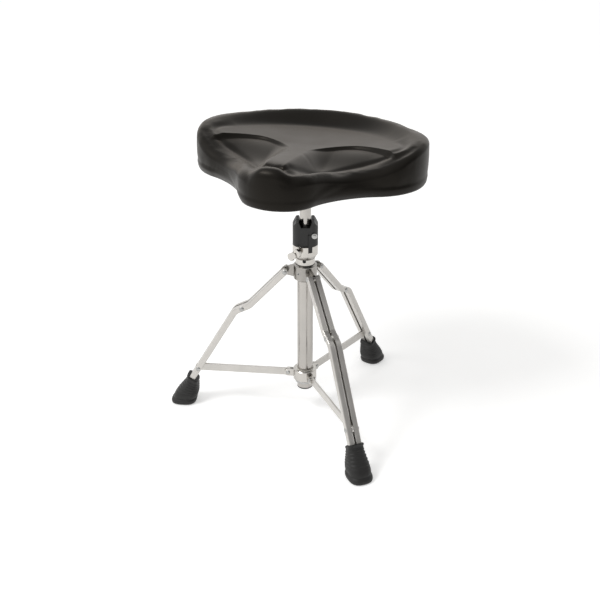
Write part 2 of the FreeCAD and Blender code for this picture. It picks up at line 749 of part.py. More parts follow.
stay_collar = new_body("stay_collar")
turn(stay_collar, "collar_section", [
    ("collar_diameter / 2 - collar_wall", COLLAR_BOTTOM),
    ("collar_diameter / 2 - ring_edge", COLLAR_BOTTOM),
    ("collar_diameter / 2", COLLAR_BOTTOM + " + ring_edge"),
    ("collar_diameter / 2", COLLAR_TOP + " - ring_edge"),
    ("collar_diameter / 2 - ring_edge", COLLAR_TOP),
    ("collar_diameter / 2 - collar_wall", COLLAR_TOP),
])
clevis = new_sketch(stay_collar, "collar_ear", "XZ_Plane")
draw_path(clevis, [
    ("collar_diameter / 2 - collar_ear_root", "stay_inner_height - collar_ear_radius"),
    ("stay_inner_radius", "stay_inner_height - collar_ear_radius", "collar_ear_radius", 1),
    ("stay_inner_radius", "stay_inner_height + collar_ear_radius"),
    ("collar_diameter / 2 - collar_ear_root", "stay_inner_height + collar_ear_radius"),
])
clevis_pad = pad(stay_collar, clevis, EAR_FACE + " * 2", both_ways=True)
repeat_round(stay_collar, clevis_pad, "leg_count")
for leg in range(int(size("leg_count"))):
    slot_turn = f"360 / leg_count * {leg}"
    gap_sketch = new_sketch(stay_collar, f"collar_slot_{leg + 1}", lift=COLLAR_BOTTOM)
    gap_sketch.AttachmentOffset = Placement(
        Vector(0, 0, size(COLLAR_BOTTOM)), Rotation(Vector(0, 0, 1), size(slot_turn)))
    gap_sketch.setExpression("AttachmentOffset.Rotation.Angle", bound(slot_turn))
    slot_start = "collar_diameter / 2 + loose_gap"
    slot_end = "stay_inner_radius + collar_ear_radius * 2"
    draw_path(gap_sketch, [
        (slot_start, "-collar_ear_gap / 2"),
        (slot_end, "-collar_ear_gap / 2"),
        (slot_end, "collar_ear_gap / 2"),
        (slot_start, "collar_ear_gap / 2"),
    ])
    pocket(stay_collar, gap_sketch, "collar_height", backwards=True)
    pivot_sketch = new_sketch(stay_collar, f"collar_pivot_{leg + 1}", "XZ_Plane")
    face_sketch(pivot_sketch, slot_turn)
    draw_circle(pivot_sketch, "rivet_diameter / 2 + seat_gap", STAY_INNER[0], STAY_INNER[1])
    pocket(stay_collar, pivot_sketch, EAR_FACE + THROUGH, both_ways=True)
stand(stay_collar, "leg_azimuth")

collar_liner = new_body("collar_liner")
LINER_RADIUS = "collar_diameter / 2 - collar_wall - seat_gap"
LINER_BORE = TUBE_RADIUS + " + running_gap"
turn(collar_liner, "liner_section", ring(LINER_BORE, LINER_RADIUS, COLLAR_BOTTOM, COLLAR_TOP))
stand(collar_liner)

collar_pins = []
for leg in range(int(size("leg_count"))):
    head_start = size(EAR_FACE)
    ear_x = size("stay_inner_radius")
    ear_z = size("stay_inner_height")
    shank_start = Vector(ear_x, -head_start, ear_z)
    pin = Part.makeCylinder(size("rivet_diameter / 2"), head_start * 2, shank_start, Vector(0, 1, 0))
    for sign in (1, -1):
        face = Vector(ear_x, sign * head_start, ear_z)
        head = Part.makeCone(size("collar_rivet_head / 2"), size("rivet_diameter / 2"),
                             size("collar_rivet_height"), face, Vector(0, sign, 0))
        pin = pin.fuse(head)
    pin.rotate(Vector(), Vector(0, 0, 1), size(f"360 / leg_count * {leg}"))
    collar_pins.append(pin.removeSplitter())
shaped("collar_rivets", collar_pins, "leg_azimuth")

# --- Receiver: a chromed casting on the tube top, with a nylon bushing for the rod ---

receiver = new_body("receiver")
turn(receiver, "receiver_section", [
    (TUBE_RADIUS + " + seat_gap", RECEIVER_BOTTOM),
    ("receiver_neck_diameter / 2", RECEIVER_BOTTOM),
    ("receiver_neck_diameter / 2", RECEIVER_WAIST),
    ("receiver_diameter / 2", RECEIVER_SHOULDER),
    ("receiver_diameter / 2", RECEIVER_TOP + " - receiver_edge"),
    ("receiver_diameter / 2 - receiver_edge", RECEIVER_TOP),
    ("rod_diameter / 2 + loose_gap", RECEIVER_TOP),
    ("rod_diameter / 2 + loose_gap", TUBE_TOP + " + bushing_flange"),
    (TUBE_RADIUS + " + seat_gap", TUBE_TOP + " + bushing_flange"),
])
boss = new_sketch(receiver, "receiver_boss", "YZ_Plane", lift=TUBE_RADIUS + " + receiver_boss_root")
draw_circle(boss, "receiver_boss_diameter / 2", "0", RECEIVER_WING_HEIGHT)
pad(receiver, boss, "receiver_boss_reach - tube_diameter / 2 - receiver_boss_root")
thread = new_sketch(receiver, "receiver_thread", "YZ_Plane")
draw_circle(thread, "wing_screw_diameter / 2 + running_gap", "0", RECEIVER_WING_HEIGHT)
pocket(receiver, thread, "receiver_diameter", backwards=True)
grub = new_sketch(receiver, "receiver_grub_hole", "YZ_Plane")
face_sketch(grub, "receiver_screw_azimuth - wing_azimuth")
draw_circle(grub, SCREW_HOLE, "0", RECEIVER_SCREW_HEIGHT)
pocket(receiver, grub, "receiver_diameter", backwards=True)


def turned_point(across, up, angle):
    """A point of a level sketch, turned about the column axis."""
    turned_across = f"(({across}) * cos({angle}) - ({up}) * sin({angle}))"
    turned_up = f"(({across}) * sin({angle}) + ({up}) * cos({angle}))"
    return turned_across, turned_up


keyway = new_sketch(receiver, "receiver_keyway", lift=RECEIVER_TOP)
KEYWAY_TURN = "key_azimuth - wing_azimuth"
KEYWAY_HALF = "key_width / 2 + loose_gap"
draw_path(keyway, [
    turned_point("key_inner_radius - loose_gap", f"-({KEYWAY_HALF})", KEYWAY_TURN),
    turned_point("receiver_diameter", f"-({KEYWAY_HALF})", KEYWAY_TURN),
    turned_point("receiver_diameter", KEYWAY_HALF, KEYWAY_TURN),
    turned_point("key_inner_radius - loose_gap", KEYWAY_HALF, KEYWAY_TURN),
])
pocket(receiver, keyway, "key_length + loose_gap")
stand(receiver, "wing_azimuth")

receiver_bushing = new_body("receiver_bushing")
turn(receiver_bushing, "bushing_section", [
    (BUSHING_BORE, TUBE_TOP + " - bushing_length"),
    (TUBE_BORE + " - seat_gap", TUBE_TOP + " - bushing_length"),
    (TUBE_BORE + " - seat_gap", TUBE_TOP),
    (TUBE_RADIUS, TUBE_TOP),
    (TUBE_RADIUS, TUBE_TOP + " + bushing_flange"),
    (BUSHING_BORE, TUBE_TOP + " + bushing_flange"),
])
stand(receiver_bushing)

receiver_screw = new_body("receiver_screw")
grub_end = new_sketch(receiver_screw, "receiver_screw_end", "YZ_Plane", lift=TUBE_BORE)
draw_circle(grub_end, "receiver_screw_diameter / 2", "0", RECEIVER_SCREW_HEIGHT)
pad(receiver_screw, grub_end, "receiver_neck_diameter / 2 - " + TUBE_BORE)
NECK_RADIUS = "receiver_neck_diameter / 2"
grub_socket = new_sketch(receiver_screw, "receiver_screw_socket", "YZ_Plane", lift=NECK_RADIUS)
draw_circle(grub_socket, "receiver_screw_diameter / 2 - receiver_screw_wall", "0", RECEIVER_SCREW_HEIGHT)
pocket(receiver_screw, grub_socket, "receiver_screw_socket")
stand(receiver_screw, "receiver_screw_azimuth")


def wing_pieces(label, azimuth, height, tip, hub_start):
    """A wing bolt pointing at the column: a steel screw and the cast wing on it."""
    screw = new_body(label + "_screw")
    screw_end = new_sketch(screw, label + "_screw_end", "YZ_Plane", lift=tip)
    draw_circle(screw_end, "wing_screw_diameter / 2", "0", height)
    pad(screw, screw_end, f"{hub_start} + wing_screw_grip - ({tip})")
    stand(screw, azimuth)
    wing = new_body(label)
    hub_end = new_sketch(wing, label + "_hub", "YZ_Plane", lift=hub_start)
    draw_circle(hub_end, "wing_hub_diameter / 2", "0", height)
    pad(wing, hub_end, "wing_hub_length")
    lobe_start = f"{hub_start} + wing_hub_length / 2 - wing_thickness / 2"
    lobes = new_sketch(wing, label + "_lobes", "YZ_Plane", lift=lobe_start)
    centre_up = size(height)
    points = [
        ("wing_span / 2 - wing_rise / 4", "wing_rise / 2"),
        ("wing_span / 2", "0"),
        ("wing_span / 2 - wing_rise / 4", "-wing_rise / 2"),
        ("wing_root", "-wing_waist"),
        ("-wing_root", "-wing_waist"),
        ("wing_rise / 4 - wing_span / 2", "-wing_rise / 2"),
        ("-wing_span / 2", "0"),
        ("wing_rise / 4 - wing_span / 2", "wing_rise / 2"),
        ("-wing_root", "wing_waist"),
        ("wing_root", "wing_waist"),
    ]
    corners = []
    for across, up in points:
        leaned = turned_point(across, up, "wing_tilt")
        corners.append((leaned[0], f"({height}) + {leaned[1]}"))
    draw_path(lobes, corners)
    lobe_pad = pad(wing, lobes, "wing_thickness")
    upright = edges_where(lobe_pad.Shape, lambda edge: (
        abs(edge.BoundBox.XLength - size("wing_thickness")) < 1e-3
        and edge.BoundBox.YLength < 1e-3 and edge.BoundBox.ZLength < 1e-3
        and math.hypot(edge.CenterOfMass.y, edge.CenterOfMass.z - centre_up) > size("wing_span / 3")))
    fillet(wing, lobe_pad, upright, "wing_corner")
    bore = new_sketch(wing, label + "_bore", "YZ_Plane", lift=hub_start)
    draw_circle(bore, "wing_screw_diameter / 2 + seat_gap", "0", height)
    pocket(wing, bore, "wing_screw_grip + seat_gap", backwards=True)
    return stand(wing, azimuth)


wing_pieces("receiver_wing", "wing_azimuth", RECEIVER_WING_HEIGHT,
            TUBE_BORE + " + running_gap", "(receiver_boss_reach + wing_clearance)")

# --- Memory lock: two hinged halves with a key that drops into the receiver's keyway ---

LOCK_HINGE = "-(lock_width / 2 - lock_pin_diameter)"
LOCK_TOP = f"({RECEIVER_TOP} + lock_height)"
LOCK_SCREW_HEIGHT = f"({RECEIVER_TOP} + lock_screw_rise)"


def lock_half(label, side):
    """Half of the lock: a padded front outline with shoulders and a rod notch, bored."""
    body = new_body(label)
    front = new_sketch(body, label + "_front", "YZ_Plane", lift=f"{side} * lock_split / 2")
    half = "lock_width / 2"
    draw_path(front, [
        (f"-{half}", RECEIVER_TOP),
        (half, RECEIVER_TOP),
        (half, LOCK_TOP + " - lock_shoulder"),
        (f"{half} - lock_shoulder_width", LOCK_TOP),
        ("lock_notch_width / 2", LOCK_TOP),
        ("lock_notch_width / 2 - lock_notch_slope", LOCK_TOP + " - lock_notch_depth"),
        ("lock_notch_slope - lock_notch_width / 2", LOCK_TOP + " - lock_notch_depth"),
        ("-lock_notch_width / 2", LOCK_TOP),
        (f"lock_shoulder_width - {half}", LOCK_TOP),
        (f"-{half}", LOCK_TOP + " - lock_shoulder"),
    ])
    block = pad(body, front, "lock_depth / 2 - lock_split / 2", backwards=side < 0)
    corner = edges_where(block.Shape, lambda edge: (
        edge.BoundBox.XLength < 1e-3 and edge.BoundBox.YLength < 1e-3
        and abs(abs(edge.CenterOfMass.x) - size("lock_depth / 2")) < 1e-3
        and abs(abs(edge.CenterOfMass.y) - size("lock_width / 2")) < 1e-3))
    fillet(body, block, corner, "lock_corner")
    bore = new_sketch(body, label + "_bore", lift=RECEIVER_TOP)
    draw_circle(bore, BUSHING_BORE)
    draw_circle(bore, "lock_pin_diameter / 2 + seat_gap", "0", LOCK_HINGE)
    pocket(body, bore, "lock_height * 2", backwards=True)
    screw_hole = new_sketch(body, label + "_screw_hole", "YZ_Plane")
    draw_circle(screw_hole, "lock_screw_diameter / 2 + running_gap", "lock_screw_offset", LOCK_SCREW_HEIGHT)
    pocket(body, screw_hole, "lock_depth", backwards=side > 0)
    return body


lock_front = lock_half("lock_front", 1)
key = new_sketch(lock_front, "lock_key", lift=RECEIVER_TOP)
KEY_TURN = "key_azimuth - lock_azimuth"
KEY_OUTER = "receiver_diameter / 2 - loose_gap"
draw_path(key, [
    turned_point("key_inner_radius", "-key_width / 2", KEY_TURN),
    turned_point(KEY_OUTER, "-key_width / 2", KEY_TURN),
    turned_point(KEY_OUTER, "key_width / 2", KEY_TURN),
    turned_point("key_inner_radius", "key_width / 2", KEY_TURN),
])
pad(lock_front, key, "key_length", backwards=True)
root = new_sketch(lock_front, "lock_key_root", lift=RECEIVER_TOP)
draw_path(root, [
    turned_point("key_inner_radius - key_root", "-key_width / 2", KEY_TURN),
    turned_point(KEY_OUTER, "-key_width / 2", KEY_TURN),
    turned_point(KEY_OUTER, "key_width / 2", KEY_TURN),
    turned_point("key_inner_radius - key_root", "key_width / 2", KEY_TURN),
])
pad(lock_front, root, "key_root_height")
stand(lock_front, "lock_azimuth")
lock_back = lock_half("lock_back", -1)
stand(lock_back, "lock_azimuth")

lock_pin = new_body("lock_pin")
lock_pin_sketch = new_sketch(lock_pin, "lock_pin_end", lift=RECEIVER_TOP)
draw_circle(lock_pin_sketch, "lock_pin_diameter / 2", "0", LOCK_HINGE)
pad(lock_pin, lock_pin_sketch, "lock_height - lock_shoulder")
stand(lock_pin, "lock_azimuth")

lock_screw = new_body("lock_screw")
SCREW_END = "lock_screw_set_back - lock_depth / 2"
lock_screw_shank = new_sketch(lock_screw, "lock_screw_shank", "YZ_Plane", lift=SCREW_END)
draw_circle(lock_screw_shank, "lock_screw_diameter / 2", "lock_screw_offset", LOCK_SCREW_HEIGHT)
pad(lock_screw, lock_screw_shank, "lock_depth")
lock_screw_flange = new_sketch(lock_screw, "lock_screw_flange", "YZ_Plane", lift="lock_depth / 2")
draw_circle(lock_screw_flange, "lock_screw_head / 2", "lock_screw_offset", LOCK_SCREW_HEIGHT)
pad(lock_screw, lock_screw_flange, "lock_screw_head_height")
stand(lock_screw, "lock_azimuth")

# --- Seat rod, bracket and bracket wing bolt ---

SOCKET_BOTTOM = f"({LOCK_TOP} + bracket_clearance)"
PLATE_BOTTOM = f"({SOCKET_BOTTOM} + bracket_socket_length)"
PLATE_TOP = f"({PLATE_BOTTOM} + bracket_plate_thickness)"
ROD_BOTTOM = f"({PLATE_BOTTOM} - rod_length)"
BRACKET_WING_HEIGHT = f"({SOCKET_BOTTOM} + bracket_wing_rise)"
SOCKET_BORE = "(bracket_socket_diameter / 2 - bracket_socket_wall)"

seat_rod = new_body("seat_rod")
turn(seat_rod, "rod_section", [
    ("0", ROD_BOTTOM),
    ("rod_diameter / 2 - rod_chamfer", ROD_BOTTOM),
    ("rod_diameter / 2", ROD_BOTTOM + " + rod_chamfer"),
    ("rod_diameter / 2", PLATE_BOTTOM + " - rod_chamfer"),
    ("rod_diameter / 2 - rod_chamfer", PLATE_BOTTOM),
    ("0", PLATE_BOTTOM),
])
stand(seat_rod)

seat_bracket = new_body("seat_bracket")
plate = new_sketch(seat_bracket, "bracket_plate", lift=PLATE_BOTTOM)
draw_path(plate, rounded_box("bracket_plate / 2", "bracket_plate / 2", "bracket_plate_corner"))
pad(seat_bracket, plate, "bracket_plate_thickness")
socket_tube = new_sketch(seat_bracket, "bracket_socket", lift=SOCKET_BOTTOM)
draw_circle(socket_tube, "bracket_socket_diameter / 2")
pad(seat_bracket, socket_tube, "bracket_socket_length + bracket_weld")
rib = new_sketch(seat_bracket, "bracket_rib", "XZ_Plane")
draw_path(rib, [
    ("bracket_socket_diameter / 2 - bracket_rib_root", PLATE_BOTTOM + " - bracket_rib_height"),
    ("bracket_socket_diameter / 2 + bracket_rib_lip", PLATE_BOTTOM + " - bracket_rib_height"),
    ("bracket_rib_reach", PLATE_BOTTOM + " - bracket_rib_lip"),
    ("bracket_rib_reach", PLATE_BOTTOM + " + bracket_weld"),
    ("bracket_socket_diameter / 2 - bracket_rib_root", PLATE_BOTTOM + " + bracket_weld"),
])
rib_pad = pad(seat_bracket, rib, "bracket_rib_thickness", both_ways=True)
repeat_round(seat_bracket, rib_pad, "bracket_rib_count")
bracket_boss = new_sketch(seat_bracket, "bracket_boss", "YZ_Plane")
face_sketch(bracket_boss, "bracket_wing_azimuth")
draw_circle(bracket_boss, "receiver_boss_diameter / 2", "0", BRACKET_WING_HEIGHT)
pad(seat_bracket, bracket_boss, "bracket_boss_reach")
bracket_bore = new_sketch(seat_bracket, "bracket_bore", lift=SOCKET_BOTTOM)
draw_circle(bracket_bore, SOCKET_BORE)
pocket(seat_bracket, bracket_bore, "bracket_socket_length", backwards=True)
bracket_thread = new_sketch(seat_bracket, "bracket_thread", "YZ_Plane")
face_sketch(bracket_thread, "bracket_wing_azimuth")
draw_circle(bracket_thread, "wing_screw_diameter / 2 + running_gap", "0", BRACKET_WING_HEIGHT)
pocket(seat_bracket, bracket_thread, "bracket_plate", backwards=True)


def bolt_holes(body, name, bottom, radius, depth):
    """Cuts the four bolt holes of the seat through a level plate."""
    sketch = new_sketch(body, name, lift=bottom)
    for across in ("-bolt_spacing / 2", "bolt_spacing / 2"):
        for up in ("-bolt_spacing / 2", "bolt_spacing / 2"):
            draw_circle(sketch, radius, across, up)
    pocket(body, sketch, depth, backwards=True)


BOLT_HOLE = "bolt_diameter / 2 + loose_gap"
bolt_holes(seat_bracket, "bracket_bolt_holes", PLATE_BOTTOM, BOLT_HOLE, "bracket_plate_thickness")
stand(seat_bracket)

bracket_bushing = new_body("bracket_bushing")
turn(bracket_bushing, "bracket_bushing_section", [
    (BUSHING_BORE, SOCKET_BOTTOM + " - bracket_bushing_flange"),
    ("bracket_socket_diameter / 2", SOCKET_BOTTOM + " - bracket_bushing_flange"),
    ("bracket_socket_diameter / 2", SOCKET_BOTTOM),
    (SOCKET_BORE + " - seat_gap", SOCKET_BOTTOM),
    (SOCKET_BORE + " - seat_gap", PLATE_BOTTOM + " - bracket_bushing_stop"),
    (BUSHING_BORE, PLATE_BOTTOM + " - bracket_bushing_stop"),
])
stand(bracket_bushing)

wing_pieces("bracket_wing", "bracket_wing_azimuth", BRACKET_WING_HEIGHT,
            SOCKET_BORE + " + running_gap", "(bracket_boss_reach + wing_clearance)")

# --- Seat: plywood board, padded saddle cushion, dust cloth, bolts and tee nuts ---

def seat_outline_arcs(inset):
    """Start, middle and end of each arc of the saddle outline, counter-clockwise from
    the right end of the back arc.  The front is -Y and the inset shifts all arcs inward."""
    back_radius = size(f"seat_back_radius - ({inset})")
    wing_radius = size(f"seat_wing_radius - ({inset})")
    nose_radius = size(f"seat_nose_radius - ({inset})")
    waist_radius = size(f"seat_waist_radius + ({inset})")
    back = Vector(0, size("seat_back_reach - seat_back_radius"), 0)
    nose = Vector(0, size("seat_nose_radius - seat_nose_reach"), 0)
    wing_x = size("seat_wing_centre")
    wing = Vector(wing_x, back.y + math.sqrt((back_radius - wing_radius) ** 2 - wing_x ** 2), 0)
    span = nose - wing
    to_wing = wing_radius + waist_radius
    to_nose = nose_radius + waist_radius
    share = (to_wing ** 2 - to_nose ** 2 + span.Length ** 2) / (2 * span.Length)
    lift = math.sqrt(to_wing ** 2 - share ** 2)
    way = Vector(span).normalize()
    waist = wing + way * share + Vector(-way.y, way.x, 0) * lift
    back_end = back + (wing - back).normalize() * back_radius
    wing_end = wing + (waist - wing).normalize() * wing_radius
    nose_end = nose + (waist - nose).normalize() * nose_radius
    waist_way = ((wing_end - waist) + (nose_end - waist)).normalize()
    wing_way = (back_end - wing + wing_end - wing).normalize()

    def mirrored(point):
        return Vector(-point.x, point.y, 0)

    wing_middle = wing + wing_way * wing_radius
    waist_middle = waist + waist_way * waist_radius
    return [
        (back_end, back + Vector(0, back_radius, 0), mirrored(back_end)),
        (mirrored(back_end), mirrored(wing_middle), mirrored(wing_end)),
        (mirrored(wing_end), mirrored(waist_middle), mirrored(nose_end)),
        (mirrored(nose_end), nose - Vector(0, nose_radius, 0), nose_end),
        (nose_end, waist_middle, wing_end),
        (wing_end, wing_middle, back_end),
    ]


def draw_seat_outline(sketch, inset="0"):
    """Draws the saddle outline as six tangent arcs held by their radii and centres."""
    ends = []
    for index, (start, middle, end) in enumerate(seat_outline_arcs(inset)):
        sketch.addGeometry(Part.Arc(start, middle, end), False)
        ends.append(ends_of(sketch, index, start))
    for index in range(6):
        after = (index + 1) % 6
        sketch.addConstraint(Sketcher.Constraint("Tangent", index, ends[index][1], after, ends[after][0]))
    names = ("back", "wing", "waist", "nose", "waist", "wing")
    for index, name in enumerate(names):
        grown = "+" if name == "waist" else "-"
        hold(sketch, "Radius", f"seat_{name}_radius {grown} ({inset})", index)
    for index, centre_height in (
        (0, "seat_back_reach - seat_back_radius"),
        (3, "seat_nose_radius - seat_nose_reach"),
    ):
        sketch.addConstraint(Sketcher.Constraint("PointOnObject", index, 3, -2))
        hold(sketch, "DistanceY", centre_height, -1, 1, index, 3)
    hold(sketch, "DistanceX", "-seat_wing_centre", -1, 1, 1, 3)
    hold(sketch, "DistanceX", "seat_wing_centre", -1, 1, 5, 3)


SEAT_BOTTOM = f"({PLATE_TOP} + cloth_thickness)"
SEAT_TOP = f"({SEAT_BOTTOM} + seat_rim_height)"
BOARD_TOP = f"({SEAT_BOTTOM} + board_thickness)"

seat_board = new_body("seat_board")
board_outline = new_sketch(seat_board, "board_outline", lift=SEAT_BOTTOM)
draw_seat_outline(board_outline, "board_inset")
pad(seat_board, board_outline, "board_thickness")
bolt_holes(seat_board, "board_bolt_holes", SEAT_BOTTOM, "tee_nut_diameter / 2 + seat_gap", "board_thickness")
stand(seat_board)

underside_cloth = new_body("underside_cloth")
cloth_outline = new_sketch(underside_cloth, "cloth_outline", lift=PLATE_TOP)
draw_seat_outline(cloth_outline, "cloth_inset")
pad(underside_cloth, cloth_outline, "cloth_thickness")
bolt_holes(underside_cloth, "cloth_bolt_holes", PLATE_TOP, BOLT_HOLE, "cloth_thickness")
stand(underside_cloth)

seat_blank = new_body("seat_blank")
cushion_outline = new_sketch(seat_blank, "cushion_outline", lift=SEAT_BOTTOM)
draw_seat_outline(cushion_outline)
cushion_pad = pad(seat_blank, cushion_outline, "seat_rim_height")
rim_edges = level_edges(cushion_pad.Shape, size(SEAT_TOP))
rim_rounding = fillet(seat_blank, cushion_pad, rim_edges, "seat_edge")
foot_edges = level_edges(rim_rounding.Shape, size(SEAT_BOTTOM))
fillet(seat_blank, rim_rounding, foot_edges, "seat_foot_edge")
board_recess = new_sketch(seat_blank, "board_recess", lift=SEAT_BOTTOM)
draw_seat_outline(board_recess, "board_inset - loose_gap")
pocket(seat_blank, board_recess, "board_thickness + tee_nut_flange + loose_gap", backwards=True)


def hollow(name, sizes, centre_x, centre_y):
    """An ellipsoid (width, length, height) whose lower end scoops a hollow out of the
    seat's top, to the last of its sizes below the rim."""
    width, length, height, depth = sizes
    scoop = doc.addObject("Part::Ellipsoid", name)
    scoop.setExpression("Radius1", bound(f"{height} / 2"))
    scoop.setExpression("Radius2", bound(f"{width} / 2"))
    scoop.setExpression("Radius3", bound(f"{length} / 2"))
    scoop.setExpression("Placement.Base.x", bound(centre_x))
    scoop.setExpression("Placement.Base.y", bound(centre_y))
    scoop.setExpression("Placement.Base.z", bound(f"{SEAT_TOP} + {height} / 2 - {depth}"))
    return scoop


BOWL = ("bowl_width", "bowl_length", "bowl_height", "bowl_depth")
THIGH = ("thigh_width", "thigh_length", "thigh_height", "thigh_depth")
scoops = [
    hollow("bowl", BOWL, "0", "bowl_centre"),
    hollow("thigh_right", THIGH, "thigh_centre_x", "thigh_centre_y"),
    hollow("thigh_left", THIGH, "-thigh_centre_x", "thigh_centre_y"),
]
carved = seat_blank
for scoop in scoops:
    cut = doc.addObject("Part::Cut", "seat_less_" + scoop.Name)
    cut.Base = carved
    cut.Tool = scoop
    carved = cut
doc.recompute()
carved.Label = "seat_cushion"
stand(carved)


def stacked_discs(profiles):
    """A fastener on the column axis, fused from discs (radius, bottom, top)."""
    one = None
    for radius, bottom, top in profiles:
        disc = Part.makeCylinder(size(radius), size(top) - size(bottom), Vector(0, 0, size(bottom)))
        one = disc if one is None else one.fuse(disc)
    return one


bolt = stacked_discs([
    ("bolt_head_diameter / 2", PLATE_BOTTOM + " - bolt_head_height", PLATE_BOTTOM),
    ("bolt_diameter / 2", PLATE_BOTTOM + " - bolt_neck", BOARD_TOP),
])
tee_nut = stacked_discs([
    ("tee_nut_diameter / 2", SEAT_BOTTOM + " + bolt_neck", BOARD_TOP + " + tee_nut_flange / 2"),
    ("tee_nut_flange_diameter / 2", BOARD_TOP, BOARD_TOP + " + tee_nut_flange"),
]).cut(Part.makeCylinder(size("bolt_diameter / 2 + seat_gap"), size(SEAT_TOP)))
spots = (-size("bolt_spacing / 2"), size("bolt_spacing / 2"))
corners = [Vector(across, up, 0) for across in spots for up in spots]
shaped("seat_bolts", [bolt.removeSplitter().translated(corner) for corner in corners], "0")
shaped("tee_nuts", [tee_nut.removeSplitter().translated(corner) for corner in corners], "0")

# --- Check every object, then write each sub-part ---

doc.recompute()
for item in doc.Objects:
    if "Invalid" in item.State or "Error" in item.State:
        raise RuntimeError(f"{item.Label}: {item.State}")
os.makedirs("parts", exist_ok=True)
for part in PARTS:
    shape = part.Shape
    if shape.isNull() or not shape.isValid() or not shape.Solids:
        raise RuntimeError(f"{part.Label} has no valid solid")
    shape.exportStep(f"parts/{part.Label}.step")
    print(f"{part.Label}: {len(shape.Solids)} solid(s), {shape.Volume:.0f} mm3")
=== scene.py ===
import json
import math

import bmesh
import bpy
import mathutils
import numpy as np
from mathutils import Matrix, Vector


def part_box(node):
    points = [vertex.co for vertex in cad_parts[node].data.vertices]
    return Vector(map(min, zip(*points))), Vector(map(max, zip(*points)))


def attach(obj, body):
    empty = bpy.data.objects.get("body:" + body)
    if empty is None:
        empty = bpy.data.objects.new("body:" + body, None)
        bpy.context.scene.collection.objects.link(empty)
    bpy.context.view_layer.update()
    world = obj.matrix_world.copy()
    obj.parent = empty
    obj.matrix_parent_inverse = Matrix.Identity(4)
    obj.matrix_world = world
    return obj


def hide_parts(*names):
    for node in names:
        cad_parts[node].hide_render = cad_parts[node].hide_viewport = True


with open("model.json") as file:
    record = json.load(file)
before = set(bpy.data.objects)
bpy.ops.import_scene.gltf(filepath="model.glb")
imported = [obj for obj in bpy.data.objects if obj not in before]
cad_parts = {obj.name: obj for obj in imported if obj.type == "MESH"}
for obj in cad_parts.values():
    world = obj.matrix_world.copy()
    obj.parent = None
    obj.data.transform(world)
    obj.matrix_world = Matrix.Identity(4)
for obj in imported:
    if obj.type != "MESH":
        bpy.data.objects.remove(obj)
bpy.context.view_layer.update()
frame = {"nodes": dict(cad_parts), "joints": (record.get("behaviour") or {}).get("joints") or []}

# --- Leg tube and seat rod ---
# Two drawn steel tubes, chromium plated and buffed.  The rod slides in the tube, and its
# lower end is chamfered so that it goes into the bushing.

tube_low, tube_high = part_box("centre_tube")
axis_x = (tube_low.x + tube_high.x) / 2
axis_y = (tube_low.y + tube_high.y) / 2


def grid_faces(rows, columns, wrap_rows=False, wrap_columns=False):
    """Quads of a grid of points counted row by row: each joins a point to the next one
    in its row and to the two below them; a wrapped side joins its end to its start."""
    down = np.arange(rows if wrap_rows else rows - 1)[:, None]
    across = np.arange(columns if wrap_columns else columns - 1)[None, :]
    next_down = (down + 1) % rows
    next_across = (across + 1) % columns
    quads = np.stack([
        np.broadcast_to(down * columns + across, (down.size, across.size)),
        down * columns + next_across,
        next_down * columns + next_across,
        next_down * columns + across,
    ], axis=-1)
    return quads.reshape(-1, 4)


TRIM_LIMIT = 0.49


def rounded(corners, radii, steps=6):
    """A closed polygon with round corners.  Each corner becomes an arc that starts and
    ends a trim length away on its two sides: radius times the tangent of half the turn."""
    points = np.asarray(corners, float)
    before = np.roll(points, 1, axis=0)
    after = np.roll(points, -1, axis=0)
    to_before = before - points
    to_after = after - points
    length_before = np.linalg.norm(to_before, axis=1)
    length_after = np.linalg.norm(to_after, axis=1)
    way_before = to_before / length_before[:, None]
    way_after = to_after / length_after[:, None]
    half_turn = (math.pi - np.arccos(np.clip((way_before * way_after).sum(1), -1, 1))) / 2
    trim = np.asarray(radii, float) * np.tan(half_turn)
    trim = np.minimum(trim, TRIM_LIMIT * np.minimum(length_before, length_after))
    share = np.linspace(0, 1, steps)[None, :, None]
    weight = np.cos(half_turn)[:, None, None]
    start = (points + way_before * trim[:, None])[:, None, :]
    end = (points + way_after * trim[:, None])[:, None, :]
    middle = points[:, None, :]
    scale = (1 - share) ** 2 + 2 * share * (1 - share) * weight + share ** 2
    bend = (1 - share) ** 2 * start + 2 * share * (1 - share) * weight * middle + share ** 2 * end
    return (bend / scale).reshape(-1, points.shape[1])


def add_piece(name, points, faces, material, smooth_angle=35):
    """A mesh object at the origin from arrays of points and faces, smooth apart from
    edges that turn by more than the smooth angle."""
    mesh = bpy.data.meshes.new(name)
    mesh.from_pydata(np.asarray(points, float).tolist(), [], [list(map(int, face)) for face in faces])
    finish_mesh(mesh, smooth_angle)
    mesh.materials.append(material)
    piece = bpy.data.objects.new(name, mesh)
    bpy.context.scene.collection.objects.link(piece)
    return piece


def finish_mesh(mesh, smooth_angle):
    """Merges points that coincide, turns the faces outward and sets which edges stay
    sharp: those that turn by the smooth angle or more."""
    work = bmesh.new()
    work.from_mesh(mesh)
    bmesh.ops.remove_doubles(work, verts=work.verts, dist=1e-6)
    bmesh.ops.dissolve_degenerate(work, edges=work.edges, dist=1e-7)
    bmesh.ops.recalc_face_normals(work, faces=work.faces)
    limit = math.radians(smooth_angle)
    for edge in work.edges:
        edge.smooth = len(edge.link_faces) == 2 and edge.calc_face_angle(0) < limit
    for face in work.faces:
        face.smooth = True
    work.to_mesh(mesh)
    work.free()


